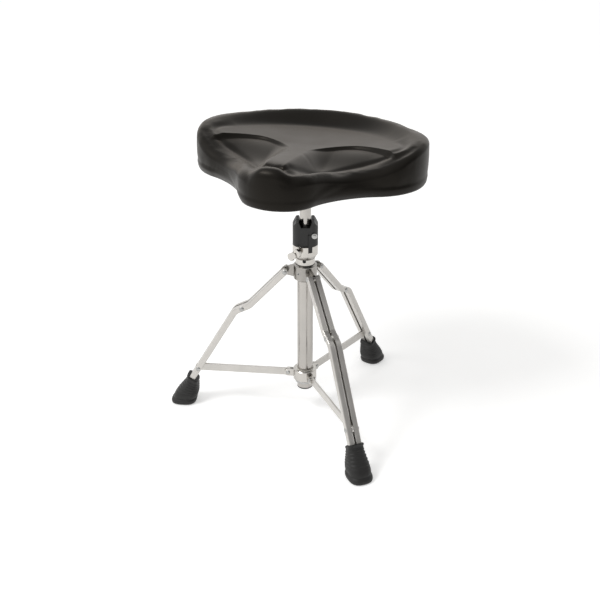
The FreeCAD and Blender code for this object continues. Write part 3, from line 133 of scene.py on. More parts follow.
def turned(name, profile, material, smooth_angle=35, steps=96):
    """A turned piece on the column axis: every profile point (radius, height) goes round
    the axis as (radius cos a, radius sin a, height)."""
    profile = np.asarray(profile, float)
    angle = np.linspace(0, 2 * math.pi, steps, endpoint=False)
    x = axis_x + profile[:, :1] * np.cos(angle)
    y = axis_y + profile[:, :1] * np.sin(angle)
    z = np.broadcast_to(profile[:, 1:], x.shape)
    points = np.stack([x, y, z], axis=-1).reshape(-1, 3)
    return add_piece(name, points, grid_faces(len(profile), steps, True, True), material, smooth_angle)


def socket(group, name, kind, way, value=None):
    """Adds a named input or output to a shader node group."""
    made = group.interface.new_socket(name=name, in_out=way, socket_type=kind)
    if value is not None:
        made.default_value = value
    return made


SCRATCH_FINENESS = 9


def wear_group():
    """Handling wear: a broad cloud noise and a fine scratch noise on the piece's own
    place, put out as a mask for the colour, a roughness and a bump height."""
    group = bpy.data.node_groups.new("handling_wear", "ShaderNodeTree")
    socket(group, "Scale", "NodeSocketFloat", "INPUT", 60)
    socket(group, "Roughness", "NodeSocketFloat", "INPUT", 0.2)
    socket(group, "Spread", "NodeSocketFloat", "INPUT", 0.1)
    socket(group, "Mask", "NodeSocketFloat", "OUTPUT")
    socket(group, "Roughness", "NodeSocketFloat", "OUTPUT")
    socket(group, "Height", "NodeSocketFloat", "OUTPUT")
    nodes, links = group.nodes, group.links
    inputs = nodes.new("NodeGroupInput")
    outputs = nodes.new("NodeGroupOutput")
    place = nodes.new("ShaderNodeTexCoord")
    cloud = nodes.new("ShaderNodeTexNoise")
    cloud.inputs["Detail"].default_value = 4
    fine = nodes.new("ShaderNodeTexNoise")
    fine.inputs["Detail"].default_value = 6
    fine_scale = nodes.new("ShaderNodeMath")
    fine_scale.operation = "MULTIPLY"
    fine_scale.inputs[1].default_value = SCRATCH_FINENESS
    spread = nodes.new("ShaderNodeMath")
    spread.operation = "MULTIPLY_ADD"
    centred = nodes.new("ShaderNodeMath")
    centred.operation = "SUBTRACT"
    centred.inputs[1].default_value = 0.5
    links.new(place.outputs["Object"], cloud.inputs["Vector"])
    links.new(place.outputs["Object"], fine.inputs["Vector"])
    links.new(inputs.outputs["Scale"], cloud.inputs["Scale"])
    links.new(inputs.outputs["Scale"], fine_scale.inputs[0])
    links.new(fine_scale.outputs[0], fine.inputs["Scale"])
    links.new(cloud.outputs["Fac"], centred.inputs[0])
    links.new(centred.outputs[0], spread.inputs[0])
    links.new(inputs.outputs["Spread"], spread.inputs[1])
    links.new(inputs.outputs["Roughness"], spread.inputs[2])
    links.new(spread.outputs[0], outputs.inputs["Roughness"])
    links.new(cloud.outputs["Fac"], outputs.inputs["Mask"])
    links.new(fine.outputs["Fac"], outputs.inputs["Height"])
    return group


WEAR = wear_group()


def finish_material(name, colour, roughness, metallic=0.0, spread=0.1, scale=60, bump=0.02,
                    depth=0.0002, worn=0.82):
    """A Principled finish whose colour, roughness and fine bump come from the wear group;
    the worn places have the colour times the worn share."""
    material = bpy.data.materials.new(name)
    material.use_nodes = True
    nodes, links = material.node_tree.nodes, material.node_tree.links
    shader = nodes["Principled BSDF"]
    shader.inputs["Metallic"].default_value = metallic
    tint = nodes.new("ShaderNodeMix")
    tint.data_type = "RGBA"
    tint.inputs["A"].default_value = (*[worn * part for part in colour], 1)
    tint.inputs["B"].default_value = (*[(2 - worn) * part for part in colour], 1)
    wear = nodes.new("ShaderNodeGroup")
    wear.node_tree = WEAR
    wear.inputs["Scale"].default_value = scale
    wear.inputs["Roughness"].default_value = roughness
    wear.inputs["Spread"].default_value = spread
    bumping = nodes.new("ShaderNodeBump")
    bumping.inputs["Strength"].default_value = bump
    bumping.inputs["Distance"].default_value = depth
    links.new(wear.outputs["Mask"], tint.inputs["Factor"])
    links.new(tint.outputs["Result"], shader.inputs["Base Color"])
    links.new(wear.outputs["Roughness"], shader.inputs["Roughness"])
    links.new(wear.outputs["Height"], bumping.inputs["Height"])
    links.new(bumping.outputs["Normal"], shader.inputs["Normal"])
    return material


def stand_for(piece, body, slot_name, *nodes):
    """The piece rides on a body and stands for CAD nodes, which are hidden. The slot name is not used.
    """
    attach(piece, body)
    if nodes:
        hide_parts(*nodes)
    return piece


tube_chrome = finish_material(
    "tube_chrome", (0.45, 0.43, 0.405), 0.19, metallic=1, worn=0.92, spread=0.05, scale=30)
TUBE_RADIUS = (tube_high.x - tube_low.x) / 2
TUBE_WALL = 0.0016
EDGE_ROUND = 0.0005
POLE = 1e-5

tube = turned("centre_tube_drawn", rounded([
    (TUBE_RADIUS - TUBE_WALL, tube_low.z), (TUBE_RADIUS, tube_low.z),
    (TUBE_RADIUS, tube_high.z), (TUBE_RADIUS - TUBE_WALL, tube_high.z),
], [EDGE_ROUND] * 4), tube_chrome)
stand_for(tube, "base", "tube_chrome", "centre_tube")

rod_low, rod_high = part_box("seat_rod")
ROD_RADIUS = (rod_high.x - rod_low.x) / 2
ROD_CHAMFER = 0.0015
rod = turned("seat_rod_drawn", rounded([
    (POLE, rod_low.z), (ROD_RADIUS - ROD_CHAMFER, rod_low.z), (ROD_RADIUS, rod_low.z + ROD_CHAMFER),
    (ROD_RADIUS, rod_high.z - ROD_CHAMFER), (ROD_RADIUS - ROD_CHAMFER, rod_high.z), (POLE, rod_high.z),
], [0, EDGE_ROUND, EDGE_ROUND, EDGE_ROUND, EDGE_ROUND, 0]), tube_chrome)
stand_for(rod, "post", "tube_chrome", "seat_rod")

# --- Leg hub, stop ring and end plug ---
# The hub is a die casting, buffed and plated, held on the tube by a rolled steel pin.
# Near the tube's foot a turned steel ring stops the collar, and a plug closes the end.

# the hub's plating is darker than the other castings: painted shade, standing in for the shade under
# the seat
hub_chrome_painted_shade = finish_material(
    "hub_chrome_painted_shade", (0.34, 0.325, 0.305), 0.26, metallic=1, spread=0.12, scale=50, bump=0.06)
zinc_steel = finish_material(
    "zinc_steel", (0.45, 0.45, 0.44), 0.38, metallic=1, spread=0.15, scale=200, bump=0.05)
black_plastic = finish_material(
    "black_plastic", (0.02, 0.02, 0.02), 0.5, spread=0.1, scale=120, bump=0.1)

WELD_REACH = 2e-6
FLAT_TURN = math.radians(0.6)
SMOOTH_TURN = math.radians(32)
BROKEN_TURN = math.radians(40)


def dressed(node, body, slot_name, material, edge=0.0004):
    """A copy of a built part with its flat faces joined, its gentle turns smooth and its
    sharp edges broken by a small round of the given width."""
    mesh = frame["nodes"][node].data.copy()
    work = bmesh.new()
    work.from_mesh(mesh)
    bmesh.ops.remove_doubles(work, verts=work.verts, dist=WELD_REACH)
    bmesh.ops.dissolve_limit(work, angle_limit=FLAT_TURN, verts=work.verts, edges=work.edges)
    for border in work.edges:
        border.smooth = len(border.link_faces) == 2 and border.calc_face_angle(0) < SMOOTH_TURN
    for face in work.faces:
        face.smooth = True
    work.to_mesh(mesh)
    work.free()
    mesh.materials.clear()
    mesh.materials.append(material)
    piece = bpy.data.objects.new(node + "_dressed", mesh)
    bpy.context.scene.collection.objects.link(piece)
    bevel = piece.modifiers.new("broken_edges", "BEVEL")
    bevel.width = edge
    bevel.segments = 2
    bevel.limit_method = "ANGLE"
    bevel.angle_limit = BROKEN_TURN
    bevel.use_clamp_overlap = True
    bevel.harden_normals = True
    return stand_for(piece, body, slot_name, node)


for node, body, slot_name, material, edge in (
    ("leg_hub", "base", "cast_chrome", hub_chrome_painted_shade, 0.0008),
    ("hub_pin", "base", "zinc_steel", zinc_steel, 0.0002),
    ("stop_ring", "base", "zinc_steel", zinc_steel, 0.0003),
    ("tube_plug", "base", "black_plastic", black_plastic, 0.0004),
):
    dressed(node, body, slot_name, material, edge)

# --- Stay collar ---
# A plated ring casting that slides on the tube over a nylon liner; three rivets through
# its ears carry the stays.

cast_chrome = finish_material(
    "cast_chrome", (0.54, 0.52, 0.49), 0.22, metallic=1, worn=0.88, spread=0.1, scale=45, bump=0.05)
nylon = finish_material("nylon", (0.72, 0.71, 0.66), 0.45, spread=0.1, scale=90)

for node, body, slot_name, material, edge in (
    ("stay_collar", "collar", "cast_chrome", cast_chrome, 0.0006),
    ("collar_liner", "collar", "nylon", nylon, 0.0002),
    ("collar_rivets", "collar", "zinc_steel", zinc_steel, 0.0003),
):
    dressed(node, body, slot_name, material, edge)

# --- Legs and stays ---
# Each leg is two pressed steel channels, open to each other, chromium plated and riveted
# side by side over nylon bushes.  A flat plated stay runs from each leg to the collar.

leg_chrome = finish_material(
    "leg_chrome", (0.60, 0.58, 0.55), 0.30, metallic=0.7, worn=0.88, spread=0.08, scale=35, bump=0.04)

for leg in (1, 2, 3):
    for side in ("left", "right"):
        dressed(f"leg_{leg}_strip_{side}", f"leg_{leg}", "leg_chrome", leg_chrome, 0.0005)
    for rivet in ("pivot_rivet", "knee_rivet", "stay_rivets"):
        dressed(f"leg_{leg}_{rivet}", f"leg_{leg}", "zinc_steel", zinc_steel, 0.0002)
    dressed(f"leg_{leg}_bushes", f"leg_{leg}", "nylon", nylon, 0.0002)
    dressed(f"stay_{leg}", f"stay_{leg}", "leg_chrome", leg_chrome, 0.0006)

# --- Boots ---
# Moulded black rubber feet pushed over the leg ends: a rounded sole, a groove above it
# and a ribbed bulb that narrows to a lipped mouth square to the leg.

rubber = finish_material(
    "boot_rubber", (0.0095, 0.0090, 0.0082), 0.56, spread=0.15, scale=140, bump=0.25, depth=0.0003)
SOLE_RADIUS = 0.26098
MOUTH_RADIUS = 0.2383
MOUTH_HEIGHT = 0.0620
LEG_SLOPE = math.radians(59.5)
SOLE_EDGE = 0.03
LEAN = 0.10
BOOT_STEPS = 72
SOCKET_LENGTH = 0.00630
SOCKET_WIDTH = 0.0131
SOCKET_FLOOR = 0.90
RIB_HEIGHT = 0.00055
RIB_PITCH = 0.085
RIB_START = 0.36
RIB_END = 0.86
SOLE_SQUARENESS = 2.7
MOUTH_SQUARENESS = 4.0
SOCKET_SQUARENESS = 8
# share of the way up, half length along the leg and half width across, in mm
BOOT_FORM = np.array([
    (0.000, 18.0, 16.0), (0.004, 23.0, 20.4), (0.030, 26.2, 23.3), (0.090, 27.0, 24.2),
    (0.150, 26.6, 23.8), (0.185, 24.9, 22.2), (0.210, 23.6, 21.2), (0.240, 24.6, 22.3),
    (0.320, 24.4, 22.6), (0.450, 21.9, 21.3), (0.600, 18.6, 19.4), (0.740, 15.6, 17.6),
    (0.860, 13.4, 16.2), (0.900, 12.9, 15.9), (0.925, 13.5, 16.6), (0.960, 13.6, 16.7),
    (0.990, 13.0, 16.3), (1.000, 11.8, 15.4),
])


def ramp(value, start, end):
    """A smooth step from 0 at start to 1 at end: 3t squared less 2t cubed."""
    share = np.clip((value - start) / (end - start), 0, 1)
    return share * share * (3 - 2 * share)


def boot_points():
    """Rings of a boot in its leg's own plane: radius, side and height.  Each ring is a
    superellipse |x/a|^n + |y/b|^n = 1; its middle moves from the sole to the mouth and
    its plane tilts with it until it is square to the leg.  A sine of the height makes
    the ribs, and the last two rings turn in and down as the socket for the leg."""
    share = np.concatenate([np.linspace(0, SOLE_EDGE, 8), np.linspace(SOLE_EDGE, 1, 68)[1:]])
    length = np.interp(share, BOOT_FORM[:, 0], BOOT_FORM[:, 1]) / 1000
    width = np.interp(share, BOOT_FORM[:, 0], BOOT_FORM[:, 2]) / 1000
    ribbed = ramp(share, RIB_START, RIB_START + 0.06) - ramp(share, RIB_END - 0.06, RIB_END)
    ribs = RIB_HEIGHT * np.sin((share - RIB_START) * 2 * math.pi / RIB_PITCH) * ribbed
    length = np.append(length + ribs, [SOCKET_LENGTH, SOCKET_LENGTH])
    width = np.append(width + ribs, [SOCKET_WIDTH, SOCKET_WIDTH])
    share = np.append(share, [1.0, SOCKET_FLOOR])
    power = SOLE_SQUARENESS + (MOUTH_SQUARENESS - SOLE_SQUARENESS) * ramp(share, 0.7, 1.0)
    power[-2:] = SOCKET_SQUARENESS
    turn = ramp(share, 0.10, 0.95) * (math.pi / 2 - LEG_SLOPE)
    along = share + LEAN * share * (1 - share)
    radius = SOLE_RADIUS + (MOUTH_RADIUS - SOLE_RADIUS) * ramp(along, 0.0, 1.0)
    height = MOUTH_HEIGHT * share
    angle = np.linspace(0, 2 * math.pi, BOOT_STEPS, endpoint=False)
    cosine, sine = np.cos(angle), np.sin(angle)
    size = (np.abs(cosine) ** power[:, None] + np.abs(sine) ** power[:, None]) ** (-1 / power[:, None])
    out = length[:, None] * size * cosine
    side = width[:, None] * size * sine
    return np.stack([
        radius[:, None] + out * np.cos(turn)[:, None],
        side,
        height[:, None] + out * np.sin(turn)[:, None],
    ], axis=-1)


def capped(points, steps):
    """Grid points with both end rings closed by a fan round their middle."""
    rows = points.reshape(-1, steps, 3)
    count = len(rows) * steps
    faces = grid_faces(len(rows), steps, False, True)
    start = np.arange(steps)
    after = (start + 1) % steps
    foot = np.stack([np.full(steps, count), after, start], axis=1)
    last = count - steps
    head = np.stack([np.full(steps, count + 1), last + start, last + after], axis=1)
    every = np.vstack([rows.reshape(-1, 3), rows[0].mean(axis=0), rows[-1].mean(axis=0)])
    return every, [*faces, *foot, *head]


for leg in (1, 2, 3):
    hinge = next(joint for joint in frame["joints"] if joint["name"] == f"leg_{leg}_fold")
    outward_x, outward_y = hinge["axis"][1], -hinge["axis"][0]
    local = boot_points()
    placed = np.stack([
        axis_x + local[..., 0] * outward_x - local[..., 1] * outward_y,
        axis_y + local[..., 0] * outward_y + local[..., 1] * outward_x,
        local[..., 2],
    ], axis=-1)
    boot = add_piece(f"boot_{leg}_moulded", *capped(placed, BOOT_STEPS), rubber, smooth_angle=50)
    stand_for(boot, f"leg_{leg}", "rubber", f"boot_{leg}")

# --- Receiver and its wing bolt ---
# A plated casting pressed on the tube's top, with a nylon bushing that guides the rod, a
# blackened set screw and a cast wing on a zinc-plated bolt that clamps the rod.

black_steel = finish_material(
    "black_steel", (0.03, 0.03, 0.03), 0.42, metallic=0.4, spread=0.12, scale=150)

for node, body, slot_name, material, edge in (
    ("receiver", "base", "cast_chrome", cast_chrome, 0.0007),
    ("receiver_bushing", "base", "nylon", nylon, 0.0003),
    ("receiver_screw", "base", "black_steel", black_steel, 0.0003),
    ("receiver_wing", "receiver_wing", "cast_chrome", cast_chrome, 0.0012),
    ("receiver_wing_screw", "receiver_wing", "zinc_steel", zinc_steel, 0.0003),
):
    dressed(node, body, slot_name, material, edge)

# --- Memory lock ---
# Two black coated castings hinged on a pin and screwed together round the rod; a key
# below drops into the receiver and keeps the height.

black_casting = finish_material(
    "black_casting", (0.010, 0.0095, 0.009), 0.46, spread=0.15, scale=260, bump=0.3, depth=0.0003)

for node, body, slot_name, material, edge in (
    ("lock_front", "base", "black_casting", black_casting, 0.0010),
    ("lock_back", "base", "black_casting", black_casting, 0.0010),
    ("lock_pin", "base", "black_steel", black_steel, 0.0003),
    ("lock_screw", "base", "zinc_steel", zinc_steel, 0.0004),
):
    dressed(node, body, slot_name, material, edge)

# --- Seat bracket, board and bolts ---
# A powder coated steel bracket with a socket for the rod, its nylon bushing and wing
# bolt, screwed through a plywood board into tee nuts.

bracket_coat = finish_material(
    "bracket_coat", (0.02, 0.02, 0.02), 0.5, spread=0.15, scale=300, bump=0.3, depth=0.0003)
plywood = finish_material(
    "plywood", (0.55, 0.40, 0.24), 0.65, spread=0.1, scale=90, bump=0.2, depth=0.0004)

for node, body, slot_name, material, edge in (
    ("seat_bracket", "seat", "bracket_steel", bracket_coat, 0.0005),
    ("bracket_bushing", "seat", "nylon", nylon, 0.0003),
    ("bracket_wing", "bracket_wing", "cast_chrome", cast_chrome, 0.0012),
    ("bracket_wing_screw", "bracket_wing", "zinc_steel", zinc_steel, 0.0003),
    ("seat_board", "seat", "plywood", plywood, 0.0004),
    ("seat_bolts", "seat", "zinc_steel", zinc_steel, 0.0004),
    ("tee_nuts", "seat", "zinc_steel", zinc_steel, 0.0002),
):
    dressed(node, body, slot_name, material, edge)

# --- Seat ---
# A moulded foam saddle under black satin vinyl, pulled over a plywood board: a raised
# roll runs all round, and inside it lie the dish, two thigh hollows and the nose ridge.

seat_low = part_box("seat_cushion")[0]
BACK_RADIUS = 0.258
BACK_REACH = 0.191
WING_RADIUS = 0.109
WING_CENTRE = 0.116
WAIST_RADIUS = 0.190
NOSE_RADIUS = 0.086
NOSE_REACH = 0.198
ARC_POINTS = 400
OUTLINE_POINTS = 560
# the wall: its foot, its belly, and how far it is tucked in all round and at the thighs
WALL_FOOT = 0.004
WALL_BELLY = 0.0012
WALL_TUCK = 0.002
THIGH_TUCK = 0.005
# the roll: a quarter ellipse, deeper at the nose and narrower and flatter at the wings
ROLL_WIDTH = 0.018
ROLL_DROP = 0.014
NOSE_DROP = 0.004
WING_FLATNESS = 0.003
WING_NARROWNESS = 0.006
CREST_SMOOTHING = 7
# the fall inside the roll: its width, wider behind and narrower at the nose, the level
# strip before it, and the groove in its foot
FALL_WIDTH = 0.028
BACK_WIDENING = 0.022
NOSE_NARROWING = 0.012
LEVEL_STRIP = 0.002
THIGH_GROOVE = 0.0024
NOSE_GROOVE = 0.0016
GROOVE_PLACE = 0.80
GROOVE_WIDTH = 0.24
DEEP_RING = 0.076
WALL_RINGS = 25
ROLL_RINGS = 15
FALL_RINGS = 30
INNER_RINGS = 46
# how far each ring of the hem lies inside the outline, and how high over the board
HEM_RINGS = ((0.030, -3e-4), (0.020, -4e-4), (0.010, -4e-4), (0.0045, -3e-4), (0.0015, 0.0012))
# bearing from the nose in degrees, and how high the roll stands there over the board in mm
ROLL_BEARINGS = (0, 6, 13, 18, 23, 30, 37, 45, 54, 61, 68, 75, 82, 89, 97, 110, 180)
ROLL_HEIGHTS = (76, 74.5, 58, 57, 56.5, 54, 50.5, 46.5, 44.5, 46, 51, 59, 69, 76, 81, 82.5, 82.5)


def circle_between(first, first_radius, second, second_radius, radius):
    """Centre of the circle that touches two others from outside, on the left of the way
    from the first to the second: the corner of a triangle whose three sides are known."""
    span = second - first
    length = np.linalg.norm(span)
    reach_first = first_radius + radius
    reach_second = second_radius + radius
    share = (reach_first ** 2 - reach_second ** 2 + length ** 2) / (2 * length)
    way = span / length
    left = np.array([-way[1], way[0]])
    return first + way * share + left * math.sqrt(reach_first ** 2 - share ** 2)


def outline_of_seat(count):
    """Points round the saddle, evenly spaced from the nose tip to the right and back:
    six arcs, each tangent to the next, mirrored about the middle."""
    back = np.array([0, BACK_REACH - BACK_RADIUS])
    nose = np.array([0, NOSE_RADIUS - NOSE_REACH])
    wing_rise = math.sqrt((BACK_RADIUS - WING_RADIUS) ** 2 - WING_CENTRE ** 2)
    wing = np.array([WING_CENTRE, back[1] + wing_rise])
    waist = circle_between(wing, WING_RADIUS, nose, NOSE_RADIUS, WAIST_RADIUS)

    def arc(centre, radius, start, end):
        angle = np.linspace(start, end, ARC_POINTS)
        return centre + radius * np.stack([np.cos(angle), np.sin(angle)], axis=1)

    def heading(vector):
        return math.atan2(vector[1], vector[0])

    to_waist = heading(waist - nose)
    from_waist = heading(wing - waist)
    half = np.concatenate([
        arc(nose, NOSE_RADIUS, -math.pi / 2, to_waist),
        arc(waist, WAIST_RADIUS, heading(nose - waist) % (2 * math.pi), from_waist % (2 * math.pi)),
        arc(wing, WING_RADIUS, heading(waist - wing), heading(wing - back)),
        arc(back, BACK_RADIUS, heading(wing - back), math.pi / 2),
    ])
    whole = np.concatenate([half, half[::-1] * [-1, 1]])
    steps = np.linalg.norm(np.diff(whole, axis=0), axis=1)
    travelled = np.concatenate([[0], np.cumsum(steps)])
    wanted = np.linspace(0, travelled[-1], count, endpoint=False)
    return np.stack([np.interp(wanted, travelled, whole[:, axis]) for axis in (0, 1)], axis=1)


def around(values, width):
    """A closed row of values smoothed by a running mean of the given width, twice."""
    kernel = np.ones(width) / width
    for turn in range(2):
        long = np.concatenate([values[-width:], values, values[:width]])
        values = np.convolve(long, kernel, "same")[width:-width]
    return values


# the dish: height over the board in the middle, rise at a side and rise at the nose
DISH_LEVEL = 0.0585
DISH_SIDE_RISE = 0.0165
DISH_HALF_WIDTH = 0.205
DISH_NOSE_RISE = 0.013
# the thigh hollows: their step, their floor's fall to the side and its height in front
HOLLOW_STEP = 0.0048
HOLLOW_STEP_RUN = 0.008
HOLLOW_SIDE_FALL = 0.022
HOLLOW_FRONT_LEVEL = 0.0405
HOLLOW_FRONT_RISE = 0.020
HOLLOW_BACK = 0.018
HOLLOW_RIDGE_BOW = 0.040
HOLLOW_WING_BOW = 0.045
# a shallow pull in the cover beside the nose
PULL_DEPTH = 0.0006
PULL_WIDTH = 0.006
PULL_SLOPE = 0.72


def inner_height(plan):
    """Height of the seat inside the roll.  The dish is level in the middle and rises
    with the square of the way to each side and with a smooth step towards the nose.
    Each thigh hollow starts behind with a short step along two parabolas, slopes down
    from the ridge and has a floor that falls forwards."""
    across, ahead = np.abs(plan[..., 0]), -plan[..., 1]
    level = DISH_LEVEL + DISH_SIDE_RISE * (across / DISH_HALF_WIDTH) ** 2
    dish = level + DISH_NOSE_RISE * ramp(ahead, -0.01, 0.165)
    behind = level - HOLLOW_STEP - HOLLOW_SIDE_FALL * np.clip(across - 0.05, 0, 1)
    before = HOLLOW_FRONT_LEVEL + HOLLOW_FRONT_RISE * ramp(across, 0.120, 0.200)
    floor = behind + (before - behind) * ramp(ahead, -0.01, 0.078)
    near_ridge = HOLLOW_RIDGE_BOW * (np.clip(0.100 - across, 0, 1) / 0.075) ** 2
    near_wing = HOLLOW_WING_BOW * (np.clip(across - 0.085, 0, 1) / 0.095) ** 2
    step_behind = ramp(ahead - (near_ridge + near_wing - HOLLOW_BACK), 0.000, HOLLOW_STEP_RUN)
    ridge_slope = ramp(across, 0.016, 0.060)
    sink = step_behind * ridge_slope
    pull = PULL_DEPTH * np.exp(-((ahead - PULL_SLOPE * across - 0.052) / PULL_WIDTH) ** 2)
    pull = pull * ramp(across, 0.004, 0.020) * (1 - ramp(across, 0.035, 0.055))
    return dish + np.minimum(floor - dish, 0) * sink - pull


def seat_rings():
    """Rings of points from the tucked lower edge up the wall, over the roll and in to
    the middle.  Near the outline they are the outline moved inwards by an even depth;
    from the deep ring on they shrink to the middle in even steps.  The wall's belly is a
    sine, the roll a quarter ellipse, and inside it the height falls by a smooth step to
    the inner height, less a groove shaped as a bell curve."""
    outline = outline_of_seat(OUTLINE_POINTS)
    tangent = np.roll(outline, -1, axis=0) - np.roll(outline, 1, axis=0)
    outward = np.stack([tangent[:, 1], -tangent[:, 0]], axis=1)
    outward /= np.linalg.norm(tangent, axis=1)[:, None]
    bearing = np.degrees(np.arctan2(np.abs(outline[:, 0]), -outline[:, 1]))
    crest = around(np.interp(bearing, ROLL_BEARINGS, ROLL_HEIGHTS) / 1000, CREST_SMOOTHING)
    back = ramp(outline[:, 1], -0.015, 0.075)
    nose = 1 - ramp(bearing, 8, 16)
    wing = ramp(bearing, 72, 88) * (1 - ramp(bearing, 102, 125))
    thigh = ramp(bearing, 12, 32) * (1 - ramp(bearing, 62, 90))
    drop = ROLL_DROP + NOSE_DROP * nose - WING_FLATNESS * wing
    roll = ROLL_WIDTH - WING_NARROWNESS * wing
    tuck = WALL_TUCK + THIGH_TUCK * thigh
    shoulder = crest - drop
    rings = []
    for inset, height in HEM_RINGS:
        ring = outline - outward * (inset + tuck)[:, None]
        rings.append(np.column_stack([ring, np.full(OUTLINE_POINTS, height)]))
    for share in np.linspace(0, 1, WALL_RINGS):
        belly = WALL_BELLY * math.sin(math.pi * share ** 0.8)
        lean = tuck * (1 - share) ** 2.4
        ring = outline + outward * (belly - lean)[:, None]
        rings.append(np.column_stack([ring, WALL_FOOT + (shoulder - WALL_FOOT) * share]))
    for share in np.linspace(0, 1, ROLL_RINGS)[1:]:
        depth = roll * (1 - math.cos(share * math.pi / 2))
        ring = outline - outward * depth[:, None]
        rings.append(np.column_stack([ring, shoulder + drop * math.sin(share * math.pi / 2)]))
    width = FALL_WIDTH + BACK_WIDENING * back - NOSE_NARROWING * nose
    flat = LEVEL_STRIP + LEVEL_STRIP * back
    deepest = outline - outward * DEEP_RING
    for ring_index in range(1, FALL_RINGS + INNER_RINGS):
        if ring_index <= FALL_RINGS:
            depth = roll + (DEEP_RING - roll) * ring_index / FALL_RINGS
            plan = outline - outward * depth[:, None]
        else:
            depth = np.ones(OUTLINE_POINTS)
            plan = deepest * (1 - (ring_index - FALL_RINGS) / INNER_RINGS)
        inner = inner_height(plan)
        share = (depth - roll - flat) / width
        fall = 1 - ramp(share, 0, 1)
        groove = THIGH_GROOVE * (1 - back) + NOSE_GROOVE * nose
        groove = groove * np.exp(-((share - GROOVE_PLACE) / GROOVE_WIDTH) ** 2)
        rings.append(np.column_stack([plan, inner + (crest - inner) * fall - groove]))
    return np.array(rings)


VINYL_DARK = (0.0042, 0.0038, 0.0032, 1)
VINYL_LIGHT = (0.0088, 0.0080, 0.0069, 1)
# the pale grey below is a painted sheen, mixed into the cover's colour where it faces up and is seen
# flat
VINYL_PAINTED_SHEEN = (0.102, 0.091, 0.079, 1)


def vinyl_material():
    """Black satin vinyl: a leather grain of two cell sizes, soft clouds in the colour and in the
    shine,
    and a painted sheen: the colour is lightened to a pale grey where the cover faces up and is seen
    at a grazing angle, in place of the reflection of the bright backdrop."""
    material = bpy.data.materials.new("seat_vinyl")
    material.use_nodes = True
    nodes, links = material.node_tree.nodes, material.node_tree.links
    shader = nodes["Principled BSDF"]
    shader.inputs["Specular IOR Level"].default_value = 0.16
    shader.inputs["Specular Tint"].default_value = (1.0, 0.90, 0.78, 1)
    place = nodes.new("ShaderNodeTexCoord")
    grain = nodes.new("ShaderNodeTexVoronoi")
    grain.feature = "DISTANCE_TO_EDGE"
    grain.inputs["Scale"].default_value = 700
    pores = nodes.new("ShaderNodeTexNoise")
    pores.inputs["Scale"].default_value = 1500
    pores.inputs["Detail"].default_value = 3
    cloud = nodes.new("ShaderNodeTexNoise")
    cloud.inputs["Scale"].default_value = 14
    cloud.inputs["Detail"].default_value = 5
    tint = nodes.new("ShaderNodeMix")
    tint.data_type = "RGBA"
    tint.inputs["A"].default_value = VINYL_DARK
    tint.inputs["B"].default_value = VINYL_LIGHT
    facing = nodes.new("ShaderNodeLayerWeight")
    flat = nodes.new("ShaderNodeMapRange")
    flat.interpolation_type = "SMOOTHSTEP"
    flat.inputs["From Min"].default_value = 0.34
    flat.inputs["From Max"].default_value = 0.82
    apart = nodes.new("ShaderNodeSeparateXYZ")
    upward = nodes.new("ShaderNodeMapRange")
    upward.interpolation_type = "SMOOTHSTEP"
    upward.inputs["From Min"].default_value = 0.30
    upward.inputs["From Max"].default_value = 0.85
    upward.inputs["To Min"].default_value = 0.15
    upward.inputs["To Max"].default_value = 1.0
    # painted sheen: the grazing-view share times the upward share lightens the colour towards the pale
    # grey
    painted_sheen_share = nodes.new("ShaderNodeMath")
    painted_sheen_share.operation = "MULTIPLY"
    sheen = nodes.new("ShaderNodeMix")
    sheen.data_type = "RGBA"
    sheen.inputs["B"].default_value = VINYL_PAINTED_SHEEN
    shine = nodes.new("ShaderNodeMapRange")
    shine.inputs["From Min"].default_value = 0.3
    shine.inputs["From Max"].default_value = 0.7
    shine.inputs["To Min"].default_value = 0.33
    shine.inputs["To Max"].default_value = 0.43
    height = nodes.new("ShaderNodeMath")
    height.operation = "MULTIPLY_ADD"
    height.inputs[1].default_value = 0.25
    bumping = nodes.new("ShaderNodeBump")
    bumping.inputs["Strength"].default_value = 0.22
    bumping.inputs["Distance"].default_value = 0.00025
    for texture in (grain, pores, cloud):
        links.new(place.outputs["Object"], texture.inputs["Vector"])
    links.new(cloud.outputs["Fac"], tint.inputs["Factor"])
    links.new(facing.outputs["Facing"], flat.inputs["Value"])
    links.new(place.outputs["Normal"], apart.inputs["Vector"])
    links.new(apart.outputs["Z"], upward.inputs["Value"])
    links.new(flat.outputs["Result"], painted_sheen_share.inputs[0])
    links.new(upward.outputs["Result"], painted_sheen_share.inputs[1])
    links.new(painted_sheen_share.outputs[0], sheen.inputs["Factor"])
    links.new(tint.outputs["Result"], sheen.inputs["A"])
    links.new(sheen.outputs["Result"], shader.inputs["Base Color"])
    links.new(cloud.outputs["Fac"], shine.inputs["Value"])
    links.new(shine.outputs["Result"], shader.inputs["Roughness"])
    links.new(pores.outputs["Fac"], height.inputs[0])
    links.new(grain.outputs["Distance"], height.inputs[2])
    links.new(height.outputs[0], bumping.inputs["Height"])
    links.new(bumping.outputs["Normal"], shader.inputs["Normal"])
    return material


PAD_VOXEL = 0.005
PAD_INSET = 0.0012
PAD_CAP = 0.0035
PAD_STEPS = 20
PAD_PRESSURE = 4
PAD_NEIGHBOURS = 10
PAD_FOOT = 0.012
PAD_FOOT_BLEND = 0.008


def points_of(mesh, kind="co"):
    """All points of a mesh, or their normals, as rows of three."""
    values = np.empty(len(mesh.vertices) * 3)
    mesh.vertices.foreach_get(kind, values)
    return values.reshape(-1, 3)


def coarse_copy(piece):
    """A coarse, even copy of a piece, made of voxels and set a little inside it."""
    bpy.context.view_layer.update()
    pad = bpy.data.objects.new("pad_copy", piece.data.copy())
    bpy.context.scene.collection.objects.link(pad)
    voxels = pad.modifiers.new("voxels", "REMESH")
    voxels.mode = "VOXEL"
    voxels.voxel_size = PAD_VOXEL
    depsgraph = bpy.context.evaluated_depsgraph_get()
    coarse = bpy.data.meshes.new_from_object(pad.evaluated_get(depsgraph))
    pad.modifiers.clear()
    pad.data = coarse
    inside = points_of(coarse) - PAD_INSET * points_of(coarse, "normal")
    coarse.vertices.foreach_set("co", inside.ravel())
    return pad, inside


